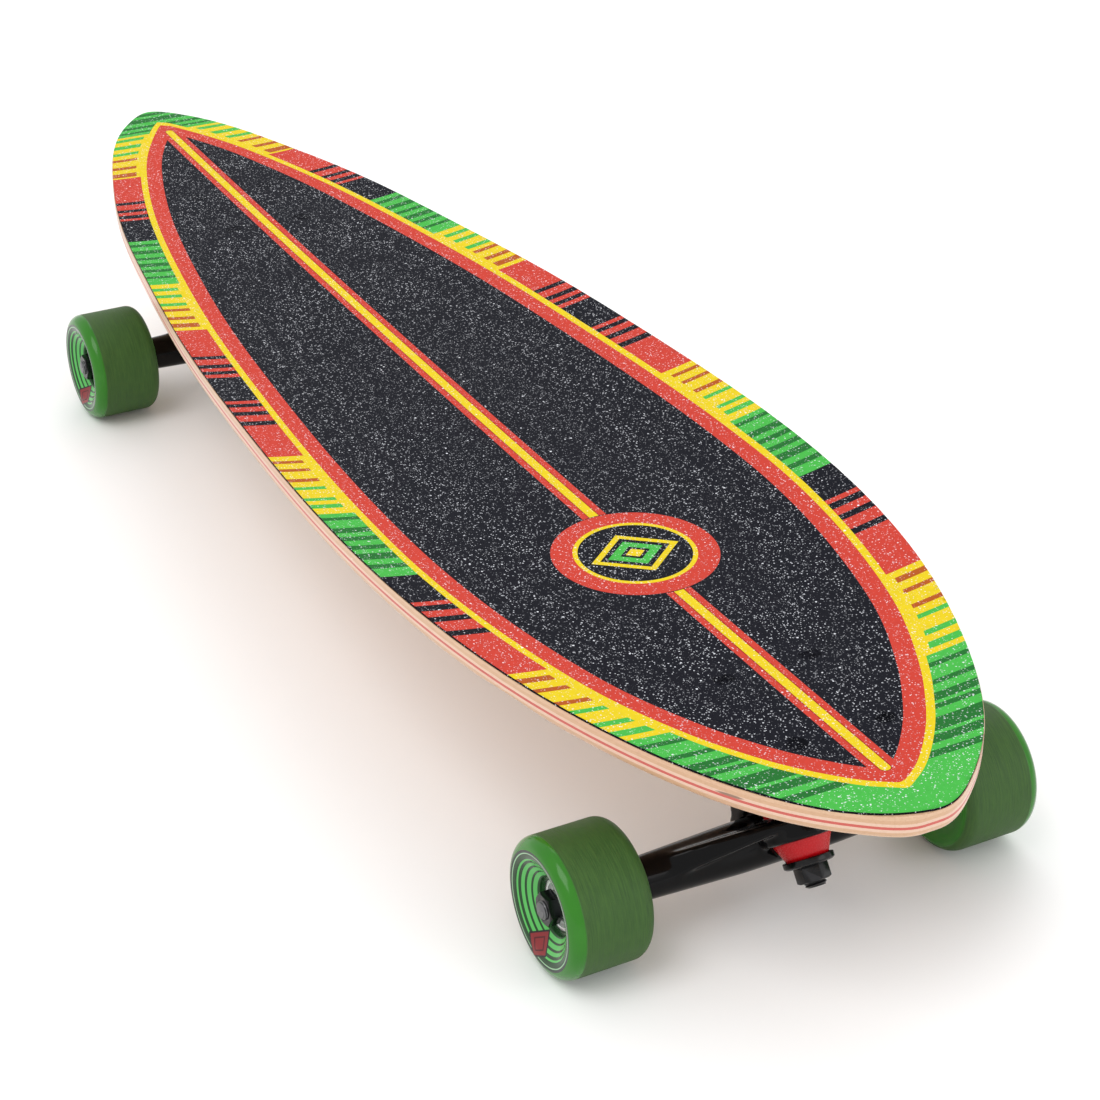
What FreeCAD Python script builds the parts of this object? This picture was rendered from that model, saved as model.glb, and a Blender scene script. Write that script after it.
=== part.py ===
"""Pintail cruiser skateboard: pressed-maple deck, two reverse-kingpin trucks, four urethane wheels.

Frame, in millimetres: +X is the direction of travel (wide nose), +Y is lateral, +Z is up.
The origin is on the ground under the middle of the deck's bounding box.
"""

import FreeCAD, Part
import math
import os

Vector = FreeCAD.Vector
Rotation = FreeCAD.Rotation
Placement = FreeCAD.Placement

# ---------------------------------------------------------------- deck
TRUCK_MID_X = 41.0          # midpoint between the two bolt patterns
WHEELBASE = 593.7           # between the centres of the two bolt patterns
ROCKER_RADIUS = 16400.0     # lengthwise bend of the top surface, tips up
CONCAVE_RADIUS = 405.0      # crosswise bend of the top surface, rails up
FLAT_HALF_WIDTH = 30.0      # flat strip between the two concave arcs
CONCAVE_ARC_DEG = 14.5      # sweep of each concave arc, past the rail
GRIP_THICKNESS = 1.0
PLIES = (                   # name, thickness, inset of its edge from the widest outline
    ("ply_1_face", 1.6, 0.0),
    ("ply_2_core", 1.6, 0.0),
    ("ply_3_cross", 1.3, 0.0),
    ("ply_4_dyed", 1.2, 0.0),
    ("ply_5_cross", 1.3, 0.15),
    ("ply_6_core", 1.6, 0.6),
    ("ply_7_face", 1.6, 1.7),
)
GRIP_INSET = 0.35
DECK_THICKNESS = GRIP_THICKNESS + sum(thickness for _, thickness, _ in PLIES)
OUTLINE = (                 # distance ahead of the truck midpoint, half width
    (386.0, 0.0),
    (376.0, 24.0),
    (350.0, 49.5),
    (300.0, 78.0),
    (230.0, 101.6),
    (150.0, 114.0),
    (70.0, 116.5),
    (-20.0, 112.8),
    (-120.0, 105.0),
    (-220.0, 91.2),
    (-310.0, 74.8),
    (-380.0, 54.5),
    (-430.0, 34.6),
    (-458.0, 15.0),
    (-468.0, 0.0),
)
WELL_OFFSET_X = 238.0       # wheel wells: middle, from the truck midpoint
WELL_RADIUS = 150.0
WELL_DEPTH = 2.0
WELL_OUTER_Y = 98.0         # where the well reaches its full depth
WELL_INNER_Y = 70.0         # where the well fades out
WELL_LENGTH = 90.0
WELL_LEAD = 30.0            # length of the well's drum inboard of where it fades out
CUTTER_REACH = 200.0        # long cutters and blanks run this far past what they cut
CUTTER_MARGIN = 20.0        # short ones

# ---------------------------------------------------------------- deck bolts
BOLT_SPACING_X = 53.98
BOLT_SPACING_Y = 41.28
BOLT_RADIUS = 2.38
BOLT_HOLE_RADIUS = 2.6
BOLT_HEAD_RADIUS = 4.7
BOLT_HEAD_HEIGHT = 2.7
BOLT_HEAD_RIM = 0.3
BOLT_LENGTH = 26.5
RECESS_LENGTH = 4.6
RECESS_WIDTH = 0.9
RECESS_DEPTH = 1.4
NUT_FLATS = 9.5
NUT_HEIGHT = 5.0
NUT_CORNER_CUT = 0.6        # height of a nut's corner chamfer, as a share of how far the corners stand out

# ---------------------------------------------------------------- truck, seen from the side
# u runs outboard (to the tip), z is up, from the middle of the bolt pattern on the mounting plane.
AXLE_U = -12.8
AXLE_Z = -62.6
KINGPIN_TILT_DEG = 38.0     # from vertical, nut outboard
STEER_TILT_DEG = 31.0       # steering axis above the mounting plane, rising outboard
SEAT_REACH = 18.0           # axle to kingpin, measured square to the kingpin
RING_TOP = -8.0             # hanger ring: start and end along the kingpin, from the axle
RING_BOTTOM = 4.0
RING_RADIUS = 17.0
RING_HOLE_RADIUS = 8.4
SEAT_DEPTH = 2.5
SEAT_RADIUS = 13.3
SEAT_GAP = 0.1              # free gap between a bushing and its seat
PIVOT_REACH = 36.0          # ring middle to pivot ball, along the steering axis
BASE_THICKNESS = 6.0
BASE_U_MIN = -58.0
BASE_U_MAX = 38.0
BASE_HALF_WIDTH = 28.0
BASE_CORNER = 8.0
BOSS_HALF_LENGTH = 13.5
BOSS_HALF_WIDTH = 14.0
TOWER_HALF_WIDTH = 8.0
TOWER_FOOT_GAP = 2.0        # from the end of the plate to the tower's foot
TOWER_BACK_COVER = 0.3      # how far the tower covers the housing behind and in front, in housing radii
TOWER_FRONT_COVER = 0.6
TOWER_WASHER_GAP = 1.5      # tower's front stands this far inboard of the boss, clear of the washer
TOWER_OVERLAP = 5.0         # how deep the tower runs into the boss
PIVOT_BALL_RADIUS = 5.0
PIVOT_CLEARANCE = 0.08
CUP_RADIUS = 7.2
CUP_BACK = 7.0              # cup and housing, along the steering axis from the ball
CUP_FRONT = 3.0
HOUSING_RADIUS = 8.7
HOUSING_BACK = 8.5
KINGPIN_RADIUS = 4.76
KINGPIN_HEAD_RADIUS = 7.0
KINGPIN_HEAD_HEIGHT = 6.0
KINGPIN_GRIP = 15.0         # length of kingpin held in the baseplate
KINGPIN_TIP = 24.2          # along the kingpin from the axle level
HEAD_POCKET_RADIUS = 7.6
BUSHING_HOLE_RADIUS = 4.95
BUSHING_RADIUS = 12.5
BARREL_HEIGHT = 13.0
BARREL_LAND = 3.25          # straight part at each end of the barrel
BARREL_WAIST = 12.1
CONE_HEIGHT = 11.5
CONE_TIP_RADIUS = 8.6
WASHER_THICKNESS = 2.0
WASHER_SHOULDER = 1.2       # height where the washer's back starts to slope
WASHER_RIM = 1.2
WASHER_HOLE_RADIUS = 4.85
BOARD_WASHER_RADIUS = 14.2
ROAD_WASHER_RADIUS = 10.9
WASHER_WALL = 1.3
KINGPIN_NUT_FLATS = 12.7
KINGPIN_NUT_HEIGHT = 6.8

# ---------------------------------------------------------------- hanger and axle
HANGER_HALF = 77.5          # the hanger's end faces, from the middle of the board
TUBE_END_RADIUS = 9.0
TUBE_MID_RADIUS = 11.0
TUBE_MID_Y = 22.0
WEB_HALF_WIDTH = 62.0
WEB_TOP = -6.5
WEB_END_BOTTOM = 4.6
WEB_MID_BOTTOM = -1.5
WEB_MID_HALF_WIDTH = 12.0
WEB_ROOT_REACH = 6.0        # how far the web stands off the tube at its ends
WEB_TIP_REACH = 31.0
WEB_TIP_HALF_WIDTH = 13.0
AXLE_RADIUS = 3.97
AXLE_HALF = 112.4

# ---------------------------------------------------------------- wheel, distances from the board's middle
WHEEL_RADIUS = 30.0
WHEEL_INNER = 74.7
WHEEL_OUTER = 112.8
TREAD_START = 80.5
TREAD_END = 106.8
INNER_LIP_MIDDLE = (76.4, 28.3)     # distance and radius
INNER_LIP_RADIUS = 25.0
OUTER_LIP_MIDDLE = (111.0, 28.4)
OUTER_LIP_RADIUS = 25.2
DISH_EDGE_RADIUS = 24.2
DISH_CORNER = (112.0, 21.0)
DISH_FLOOR_GAP = 1.5        # bearing face to the foot of the dish
DISH_FLOOR_RADIUS = 12.4
BACK_EDGE_RADIUS = 20.0
BACK_FLOOR_GAP = 1.0
BACK_FLOOR_RADIUS = 13.0
BEARING_STARTS = (78.5, 97.5)
BEARING_WIDTH = 7.0
BEARING_OUTER_RADIUS = 11.0
OUTER_RACE_BORE = 9.0
INNER_RACE_RADIUS = 6.0
BALL_PITCH_RADIUS = 7.5
BALL_RADIUS = 1.984
BALL_GROOVE_RADIUS = 2.05
BALL_COUNT = 7
CAGE_INNER_RADIUS = 6.9
CAGE_OUTER_RADIUS = 8.1
CAGE_START = 0.9
CAGE_END = 2.4
SHIELD_THICKNESS = 0.35
SHIELD_RECESS = 0.3
SHIELD_INNER_RADIUS = 6.35
CORE_BORE_RADIUS = 9.4
SPACER_RADIUS = 5.6
SPEED_WASHER_RADIUS = 5.6
SPEED_WASHER_THICKNESS = 1.0
AXLE_NUT_FLATS = 12.7
AXLE_NUT_HEIGHT = 5.5

X_AXIS = Vector(1, 0, 0)
Y_AXIS = Vector(0, 1, 0)
Z_AXIS = Vector(0, 0, 1)


# ---------------------------------------------------------------- general shapes
def rod(base, direction, radius, length):
    """Solid cylinder from a base point along a direction."""
    return Part.makeCylinder(radius, length, base, direction)


def tube(base, direction, outer_radius, inner_radius, length):
    """Hollow cylinder."""
    bore = rod(base - direction * length, direction, inner_radius, 3 * length)
    return rod(base, direction, outer_radius, length).cut(bore)


def prism(points, travel):
    """Closed polygon swept along a vector."""
    return Part.Face(Part.makePolygon(points + [points[0]])).extrude(travel)


def centred_slab(points, half_width):
    """Polygon in the side view made into a slab centred on the board's middle."""
    return prism([point - Y_AXIS * half_width for point in points], Y_AXIS * 2 * half_width)


def hex_prism(base, direction, flats, height):
    """Hexagonal nut blank with its corners taken off on the free end."""
    corner_radius = flats / math.sqrt(3)
    outline = [Rotation(Z_AXIS, 60 * k).multVec(X_AXIS) * corner_radius for k in range(6)]
    chamfer = (corner_radius - flats / 2) * NUT_CORNER_CUT
    blank = prism(outline, Z_AXIS * height)
    chamfered = rod(Vector(), Z_AXIS, corner_radius, height - chamfer).fuse(
        Part.makeCone(corner_radius, flats / 2, chamfer, Z_AXIS * (height - chamfer), Z_AXIS)
    )
    nut = blank.common(chamfered)
    nut.Placement = Placement(base, Rotation(Z_AXIS, direction))
    return nut


def turned(profile, base, direction):
    """Closed (distance along axis, radius) polygon revolved about an axis."""
    points = [Vector(radius, 0, along) for along, radius in profile]
    solid = Part.Face(Part.makePolygon(points + [points[0]])).revolve(Vector(), Z_AXIS, 360)
    solid.Placement = Placement(base, Rotation(Z_AXIS, direction))
    return solid


def export(name, shape):
    """Write one named piece, or a group of identical pieces, as a STEP file."""
    shape.exportStep(os.path.join("parts", name + ".step"))


def group(solids):
    """Several separate solids kept in one named node."""
    return Part.makeCompound(solids)


# ---------------------------------------------------------------- frames
def side_vector(angle_deg):
    """Unit vector in the truck's side view, at an angle above outboard."""
    angle = math.radians(angle_deg)
    return Vector(math.cos(angle), 0, math.sin(angle))


AXLE_CENTRE = Vector(AXLE_U, 0, AXLE_Z)
KINGPIN_DIR = side_vector(KINGPIN_TILT_DEG - 90)
HANGER_DIR = side_vector(KINGPIN_TILT_DEG)
STEER_DIR = side_vector(STEER_TILT_DEG)
SEAT_CENTRE = AXLE_CENTRE + HANGER_DIR * SEAT_REACH
RING_MIDDLE = SEAT_CENTRE + KINGPIN_DIR * ((RING_TOP + RING_BOTTOM) / 2)
PIVOT_CENTRE = RING_MIDDLE - STEER_DIR * PIVOT_REACH
BARREL_END = RING_TOP + SEAT_DEPTH - SEAT_GAP
BOSS_FACE = BARREL_END - BARREL_HEIGHT - WASHER_THICKNESS
CONE_START = RING_BOTTOM - SEAT_DEPTH + SEAT_GAP
NUT_START = CONE_START + CONE_HEIGHT + WASHER_THICKNESS


def on_kingpin(distance):
    """Point on the kingpin's axis, at a distance below the axle level."""
    return SEAT_CENTRE + KINGPIN_DIR * distance


MOUNT_ANGLE = math.degrees(math.asin(WHEELBASE / 2 / (ROCKER_RADIUS + DECK_THICKNESS)))
tilt = math.radians(MOUNT_ANGLE)
MOUNT_RISE = (ROCKER_RADIUS + DECK_THICKNESS) * (1 - math.cos(tilt))
AXLE_DROP = -AXLE_Z * math.cos(tilt) - AXLE_U * math.sin(tilt)
DECK_TOP_Z = WHEEL_RADIUS + AXLE_DROP - MOUNT_RISE + DECK_THICKNESS
ROCKER_CENTRE = Vector(TRUCK_MID_X, 0, DECK_TOP_Z + ROCKER_RADIUS)


def truck_placement(side):
    """Placement of a truck built at the origin: side +1 is the nose, -1 the tail."""
    underside = Vector(TRUCK_MID_X, 0, DECK_TOP_Z - DECK_THICKNESS)
    turn = Placement(underside, Rotation(Z_AXIS, 0 if side > 0 else 180))
    swing = Placement(Vector(), Rotation(Y_AXIS, -side * MOUNT_ANGLE), ROCKER_CENTRE)
    return swing.multiply(turn)


def placed(shape, side):
    """Copy of a truck shape moved to its end of the board."""
    moved = shape.copy()
    moved.Placement = truck_placement(side).multiply(moved.Placement)
    return moved


# ---------------------------------------------------------------- deck
def outline_face(inset):
    """Deck outline seen from above, moved inwards by an inset."""
    right = [Vector(TRUCK_MID_X + ahead, -half, 0) for ahead, half in OUTLINE]
    left = [Vector(point.x, -point.y, 0) for point in reversed(right[1:-1])]
    curve = Part.BSplineCurve()
    curve.interpolate(Points=right + left, PeriodicFlag=True)
    if inset:
        knots = curve.getKnots()[:-1]
        moved = []
        for knot in knots:
            point, along = curve.getD1(knot)
            moved.append(point + Vector(along).cross(Z_AXIS).normalize() * inset)
        curve = Part.BSplineCurve()
        curve.interpolate(Points=moved, PeriodicFlag=True)
    return Part.Face(Part.Wire(curve.toShape()))


def layer_profile(depth_top, depth_bottom):
    """Cross-section of one deck layer: a flat strip with a concave arc on each side."""
    def arc_point(side, depth, angle_deg):
        angle = math.radians(angle_deg)
        radius = CONCAVE_RADIUS + depth
        height = DECK_TOP_Z + CONCAVE_RADIUS - radius * math.cos(angle)
        return Vector(TRUCK_MID_X, side * (FLAT_HALF_WIDTH + radius * math.sin(angle)), height)

    def surface(depth):
        edges = []
        for side in (-1, 1):
            root, middle, rail = (arc_point(side, depth, CONCAVE_ARC_DEG * part) for part in (0, 0.5, 1))
            edges.append(Part.Arc(root, middle, rail).toShape())
        edges.append(Part.makeLine(arc_point(-1, depth, 0), arc_point(1, depth, 0)))
        return edges

    ends = [
        Part.makeLine(*(arc_point(side, depth, CONCAVE_ARC_DEG) for depth in (depth_top, depth_bottom)))
        for side in (-1, 1)
    ]
    return Part.Face(Part.Wire(Part.__sortEdges__(surface(depth_top) + surface(depth_bottom) + ends)))


def curved_sheet(depth_top, depth_bottom):
    """One deck layer bent along and across the board, before it is cut to the outline."""
    reach = max(abs(ahead) for ahead, _ in OUTLINE) + CUTTER_MARGIN
    half_sweep = math.degrees(math.asin(reach / ROCKER_RADIUS))
    face = layer_profile(depth_top, depth_bottom)
    face.rotate(ROCKER_CENTRE, Y_AXIS, half_sweep)
    return face.revolve(ROCKER_CENTRE, Y_AXIS, -2 * half_sweep)


def deck_layer(depth_top, depth_bottom, inset):
    """One layer trimmed to the outline."""
    blank = outline_face(inset).extrude(Z_AXIS * CUTTER_REACH)
    return curved_sheet(depth_top, depth_bottom).common(blank)


def well_cutter(end, lateral):
    """Shallow drum that hollows the underside above a wheel."""
    ahead = end * WELL_OFFSET_X
    rocker_rise = ahead ** 2 / (2 * ROCKER_RADIUS)
    underside_radius = CONCAVE_RADIUS + DECK_THICKNESS

    def underside(y):
        return DECK_TOP_Z - DECK_THICKNESS + rocker_rise + (y - FLAT_HALF_WIDTH) ** 2 / (2 * underside_radius)

    fade = Vector(TRUCK_MID_X + ahead, lateral * WELL_INNER_Y, underside(WELL_INNER_Y))
    deepest = Vector(TRUCK_MID_X + ahead, lateral * WELL_OUTER_Y, underside(WELL_OUTER_Y) + WELL_DEPTH)
    axis = (deepest - fade).normalize()
    below = X_AXIS.cross(axis) * -lateral
    start = fade + below * WELL_RADIUS - axis * WELL_LEAD
    return rod(start, axis, WELL_RADIUS, WELL_LENGTH)


def bolt_positions():
    """The four bolt axes of one truck, on its mounting plane."""
    return [
        Vector(su * BOLT_SPACING_X / 2, sy * BOLT_SPACING_Y / 2, 0)
        for su in (-1, 1)
        for sy in (-1, 1)
    ]


def bolt_blank(position, shank_radius, length):
    """Countersunk bolt body, head flush with the grip surface."""
    top = position + Z_AXIS * DECK_THICKNESS
    cone_height = BOLT_HEAD_HEIGHT - BOLT_HEAD_RIM
    rim = rod(top - Z_AXIS * BOLT_HEAD_RIM, Z_AXIS, BOLT_HEAD_RADIUS, BOLT_HEAD_RIM)
    cone = Part.makeCone(BOLT_RADIUS, BOLT_HEAD_RADIUS, cone_height, top - Z_AXIS * BOLT_HEAD_HEIGHT, Z_AXIS)
    shank = rod(top - Z_AXIS * length, Z_AXIS, shank_radius, length - BOLT_HEAD_RIM)
    return rim.fuse([cone, shank])


def deck_bolt(position):
    """Flat-head bolt with a cross recess."""
    top = position + Z_AXIS * DECK_THICKNESS
    bolt = bolt_blank(position, BOLT_RADIUS, BOLT_LENGTH)
    for length, width in ((RECESS_LENGTH, RECESS_WIDTH), (RECESS_WIDTH, RECESS_LENGTH)):
        corner = top - Vector(length / 2, width / 2, RECESS_DEPTH)
        bolt = bolt.cut(Part.makeBox(length, width, 2 * RECESS_DEPTH, corner))
    return bolt


def deck_nut(position):
    """Lock nut under the baseplate."""
    nut = hex_prism(position - Z_AXIS * BASE_THICKNESS, -Z_AXIS, NUT_FLATS, NUT_HEIGHT)
    return nut.cut(rod(position, -Z_AXIS, BOLT_RADIUS, BOLT_LENGTH))


# ---------------------------------------------------------------- truck, fixed half
def baseplate():
    """Cast plate with the angled kingpin boss and the pivot tower."""
    size_u = BASE_U_MAX - BASE_U_MIN
    plate = Part.makeBox(
        size_u, 2 * BASE_HALF_WIDTH, BASE_THICKNESS, Vector(BASE_U_MIN, -BASE_HALF_WIDTH, -BASE_THICKNESS)
    )
    upright = [edge for edge in plate.Edges if abs(edge.tangentAt(edge.FirstParameter).z) > 0.5]
    plate = plate.makeFillet(BASE_CORNER, upright)

    face = on_kingpin(BOSS_FACE)
    outer_corner = face + HANGER_DIR * BOSS_HALF_LENGTH
    inner_corner = face - HANGER_DIR * BOSS_HALF_LENGTH
    climb = (-inner_corner.z - BASE_THICKNESS / 2) / -KINGPIN_DIR.z
    inner_root = inner_corner - KINGPIN_DIR * climb
    outer_root = Vector(outer_corner.x + BASE_THICKNESS, 0, -BASE_THICKNESS / 2)
    boss = centred_slab([outer_corner, inner_corner, inner_root, outer_root], BOSS_HALF_WIDTH)

    housing_start = PIVOT_CENTRE - STEER_DIR * HOUSING_BACK
    housing = rod(housing_start, STEER_DIR, HOUSING_RADIUS, HOUSING_BACK + CUP_FRONT)
    side_step = STEER_DIR.cross(Y_AXIS) * HOUSING_RADIUS
    tower_points = [
        Vector(BASE_U_MIN + TOWER_FOOT_GAP, 0, -BASE_THICKNESS / 2),
        housing_start - side_step * TOWER_BACK_COVER,
        PIVOT_CENTRE + STEER_DIR * CUP_FRONT + side_step * TOWER_FRONT_COVER,
        inner_corner - HANGER_DIR * TOWER_WASHER_GAP,
        inner_corner + (HANGER_DIR - KINGPIN_DIR) * TOWER_OVERLAP,
        inner_root + X_AXIS * TOWER_OVERLAP,
    ]
    tower = centred_slab(tower_points, TOWER_HALF_WIDTH)

    body = plate.fuse([boss, tower, housing]).removeSplitter()
    head_seat = on_kingpin(BOSS_FACE - KINGPIN_GRIP)
    body = body.cut(rod(face, -KINGPIN_DIR, KINGPIN_RADIUS, CUTTER_REACH))
    body = body.cut(rod(head_seat, -KINGPIN_DIR, HEAD_POCKET_RADIUS, CUTTER_REACH))
    cup_start = PIVOT_CENTRE - STEER_DIR * CUP_BACK
    body = body.cut(rod(cup_start, STEER_DIR, CUP_RADIUS, CUP_BACK + CUP_FRONT))
    for position in bolt_positions():
        start = position + Z_AXIS * BASE_THICKNESS
        body = body.cut(rod(start, -Z_AXIS, BOLT_HOLE_RADIUS, CUTTER_MARGIN))
    return body


def pivot_cup():
    """Urethane cup that holds the hanger's pivot ball."""
    start = PIVOT_CENTRE - STEER_DIR * CUP_BACK
    bore_radius = PIVOT_BALL_RADIUS + PIVOT_CLEARANCE
    cup = rod(start, STEER_DIR, CUP_RADIUS, CUP_BACK + CUP_FRONT)
    cup = cup.cut(Part.makeSphere(bore_radius, PIVOT_CENTRE))
    return cup.cut(rod(PIVOT_CENTRE, STEER_DIR, bore_radius, CUP_FRONT * 2))


def kingpin():
    """Kingpin with its head in the baseplate pocket."""
    seat = BOSS_FACE - KINGPIN_GRIP
    shank = rod(on_kingpin(seat), KINGPIN_DIR, KINGPIN_RADIUS, KINGPIN_TIP - seat)
    head = rod(on_kingpin(seat), -KINGPIN_DIR, KINGPIN_HEAD_RADIUS, KINGPIN_HEAD_HEIGHT)
    return shank.fuse(head).removeSplitter()


def board_bushing():
    """Barrel bushing between baseplate and hanger."""
    profile = [
        (0, BUSHING_HOLE_RADIUS),
        (0, BUSHING_RADIUS),
        (BARREL_LAND, BUSHING_RADIUS),
        (BARREL_HEIGHT / 2, BARREL_WAIST),
        (BARREL_HEIGHT - BARREL_LAND, BUSHING_RADIUS),
        (BARREL_HEIGHT, BUSHING_RADIUS),
        (BARREL_HEIGHT, BUSHING_HOLE_RADIUS),
    ]
    return turned(profile, on_kingpin(BARREL_END - BARREL_HEIGHT), KINGPIN_DIR)


def road_bushing():
    """Cone bushing between hanger and nut."""
    profile = [
        (0, BUSHING_HOLE_RADIUS),
        (0, BUSHING_RADIUS),
        (SEAT_DEPTH, BUSHING_RADIUS),
        (CONE_HEIGHT, CONE_TIP_RADIUS),
        (CONE_HEIGHT, BUSHING_HOLE_RADIUS),
    ]
    return turned(profile, on_kingpin(CONE_START), KINGPIN_DIR)


def cup_washer(outer_radius, start, direction):
    """Cupped washer, its rim turned towards the bushing."""
    profile = [
        (0, WASHER_HOLE_RADIUS),
        (0, outer_radius - WASHER_WALL),
        (-WASHER_RIM, outer_radius - WASHER_WALL),
        (-WASHER_RIM, outer_radius),
        (WASHER_SHOULDER, outer_radius),
        (WASHER_THICKNESS, outer_radius - WASHER_WALL),
        (WASHER_THICKNESS, WASHER_HOLE_RADIUS),
    ]
    return turned(profile, start, direction)


def kingpin_nut():
    """Lock nut on the kingpin."""
    nut = hex_prism(on_kingpin(NUT_START), KINGPIN_DIR, KINGPIN_NUT_FLATS, KINGPIN_NUT_HEIGHT)
    return nut.cut(rod(on_kingpin(0), KINGPIN_DIR, KINGPIN_RADIUS, CUTTER_REACH))


# ---------------------------------------------------------------- truck, steering half
def hanger_point(reach, lateral, drop):
    """Point given square to the kingpin, across the board and along the kingpin, from the axle."""
    return AXLE_CENTRE + HANGER_DIR * reach + Y_AXIS * lateral + KINGPIN_DIR * drop


def hanger():
    """Cast hanger: axle tube, web, bushing ring and pivot."""
    tube_profile = [
        (-HANGER_HALF, 0),
        (-HANGER_HALF, TUBE_END_RADIUS),
        (-TUBE_MID_Y, TUBE_MID_RADIUS),
        (TUBE_MID_Y, TUBE_MID_RADIUS),
        (HANGER_HALF, TUBE_END_RADIUS),
        (HANGER_HALF, 0),
    ]
    arms = turned(tube_profile, AXLE_CENTRE, Y_AXIS)

    web_section = [
        hanger_point(0, WEB_HALF_WIDTH, WEB_TOP),
        hanger_point(0, -WEB_HALF_WIDTH, WEB_TOP),
        hanger_point(0, -WEB_HALF_WIDTH, WEB_END_BOTTOM),
        hanger_point(0, -WEB_MID_HALF_WIDTH, WEB_MID_BOTTOM),
        hanger_point(0, WEB_MID_HALF_WIDTH, WEB_MID_BOTTOM),
        hanger_point(0, WEB_HALF_WIDTH, WEB_END_BOTTOM),
    ]
    web = prism(web_section, HANGER_DIR * WEB_TIP_REACH)
    plan = [
        hanger_point(0, WEB_HALF_WIDTH, -CUTTER_REACH),
        hanger_point(WEB_ROOT_REACH, WEB_HALF_WIDTH, -CUTTER_REACH),
        hanger_point(WEB_TIP_REACH, WEB_TIP_HALF_WIDTH, -CUTTER_REACH),
        hanger_point(WEB_TIP_REACH, -WEB_TIP_HALF_WIDTH, -CUTTER_REACH),
        hanger_point(WEB_ROOT_REACH, -WEB_HALF_WIDTH, -CUTTER_REACH),
        hanger_point(0, -WEB_HALF_WIDTH, -CUTTER_REACH),
    ]
    web = web.common(prism(plan, KINGPIN_DIR * 2 * CUTTER_REACH))

    ring = rod(on_kingpin(RING_TOP), KINGPIN_DIR, RING_RADIUS, RING_BOTTOM - RING_TOP)
    stub = rod(PIVOT_CENTRE, STEER_DIR, PIVOT_BALL_RADIUS, PIVOT_REACH / 2)
    ball = Part.makeSphere(PIVOT_BALL_RADIUS, PIVOT_CENTRE)
    body = arms.fuse([web, ring, stub, ball]).removeSplitter()

    body = body.cut(rod(on_kingpin(-CUTTER_MARGIN), KINGPIN_DIR, RING_HOLE_RADIUS, 2 * CUTTER_MARGIN))
    body = body.cut(rod(on_kingpin(RING_TOP + SEAT_DEPTH), -KINGPIN_DIR, SEAT_RADIUS, CUTTER_MARGIN))
    body = body.cut(rod(on_kingpin(RING_BOTTOM - SEAT_DEPTH), KINGPIN_DIR, SEAT_RADIUS, CUTTER_MARGIN))
    bore_start = AXLE_CENTRE - Y_AXIS * CUTTER_REACH / 2
    return body.cut(rod(bore_start, Y_AXIS, AXLE_RADIUS, CUTTER_REACH))


def axle():
    """Steel axle rod through the hanger."""
    return rod(AXLE_CENTRE - Y_AXIS * AXLE_HALF, Y_AXIS, AXLE_RADIUS, 2 * AXLE_HALF)


def along_axle(lateral, distance):
    """Point on the axle, at a distance from the board's middle on one side."""
    return AXLE_CENTRE + Y_AXIS * (lateral * distance)


def speed_washer(lateral, start):
    """Thin washer beside a bearing."""
    return tube(
        along_axle(lateral, start), Y_AXIS * lateral, SPEED_WASHER_RADIUS, AXLE_RADIUS, SPEED_WASHER_THICKNESS
    )


def axle_nut(lateral):
    """Lock nut at one end of the axle."""
    start = along_axle(lateral, BEARING_STARTS[1] + BEARING_WIDTH + SPEED_WASHER_THICKNESS)
    nut = hex_prism(start, Y_AXIS * lateral, AXLE_NUT_FLATS, AXLE_NUT_HEIGHT)
    return nut.cut(axle())


def bearing_spacer(lateral):
    """Sleeve that keeps the two inner races apart."""
    start = BEARING_STARTS[0] + BEARING_WIDTH
    length = BEARING_STARTS[1] - start
    return tube(along_axle(lateral, start), Y_AXIS * lateral, SPACER_RADIUS, AXLE_RADIUS, length)


def ball_track(lateral, start):
    """Torus swept by the balls of one bearing, with their running clearance."""
    middle = along_axle(lateral, start + BEARING_WIDTH / 2)
    return Part.makeTorus(BALL_PITCH_RADIUS, BALL_GROOVE_RADIUS, middle, Y_AXIS)


def race(lateral, start, outer_radius, inner_radius):
    """One grooved bearing ring."""
    ring = tube(along_axle(lateral, start), Y_AXIS * lateral, outer_radius, inner_radius, BEARING_WIDTH)
    return ring.cut(ball_track(lateral, start))


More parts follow.
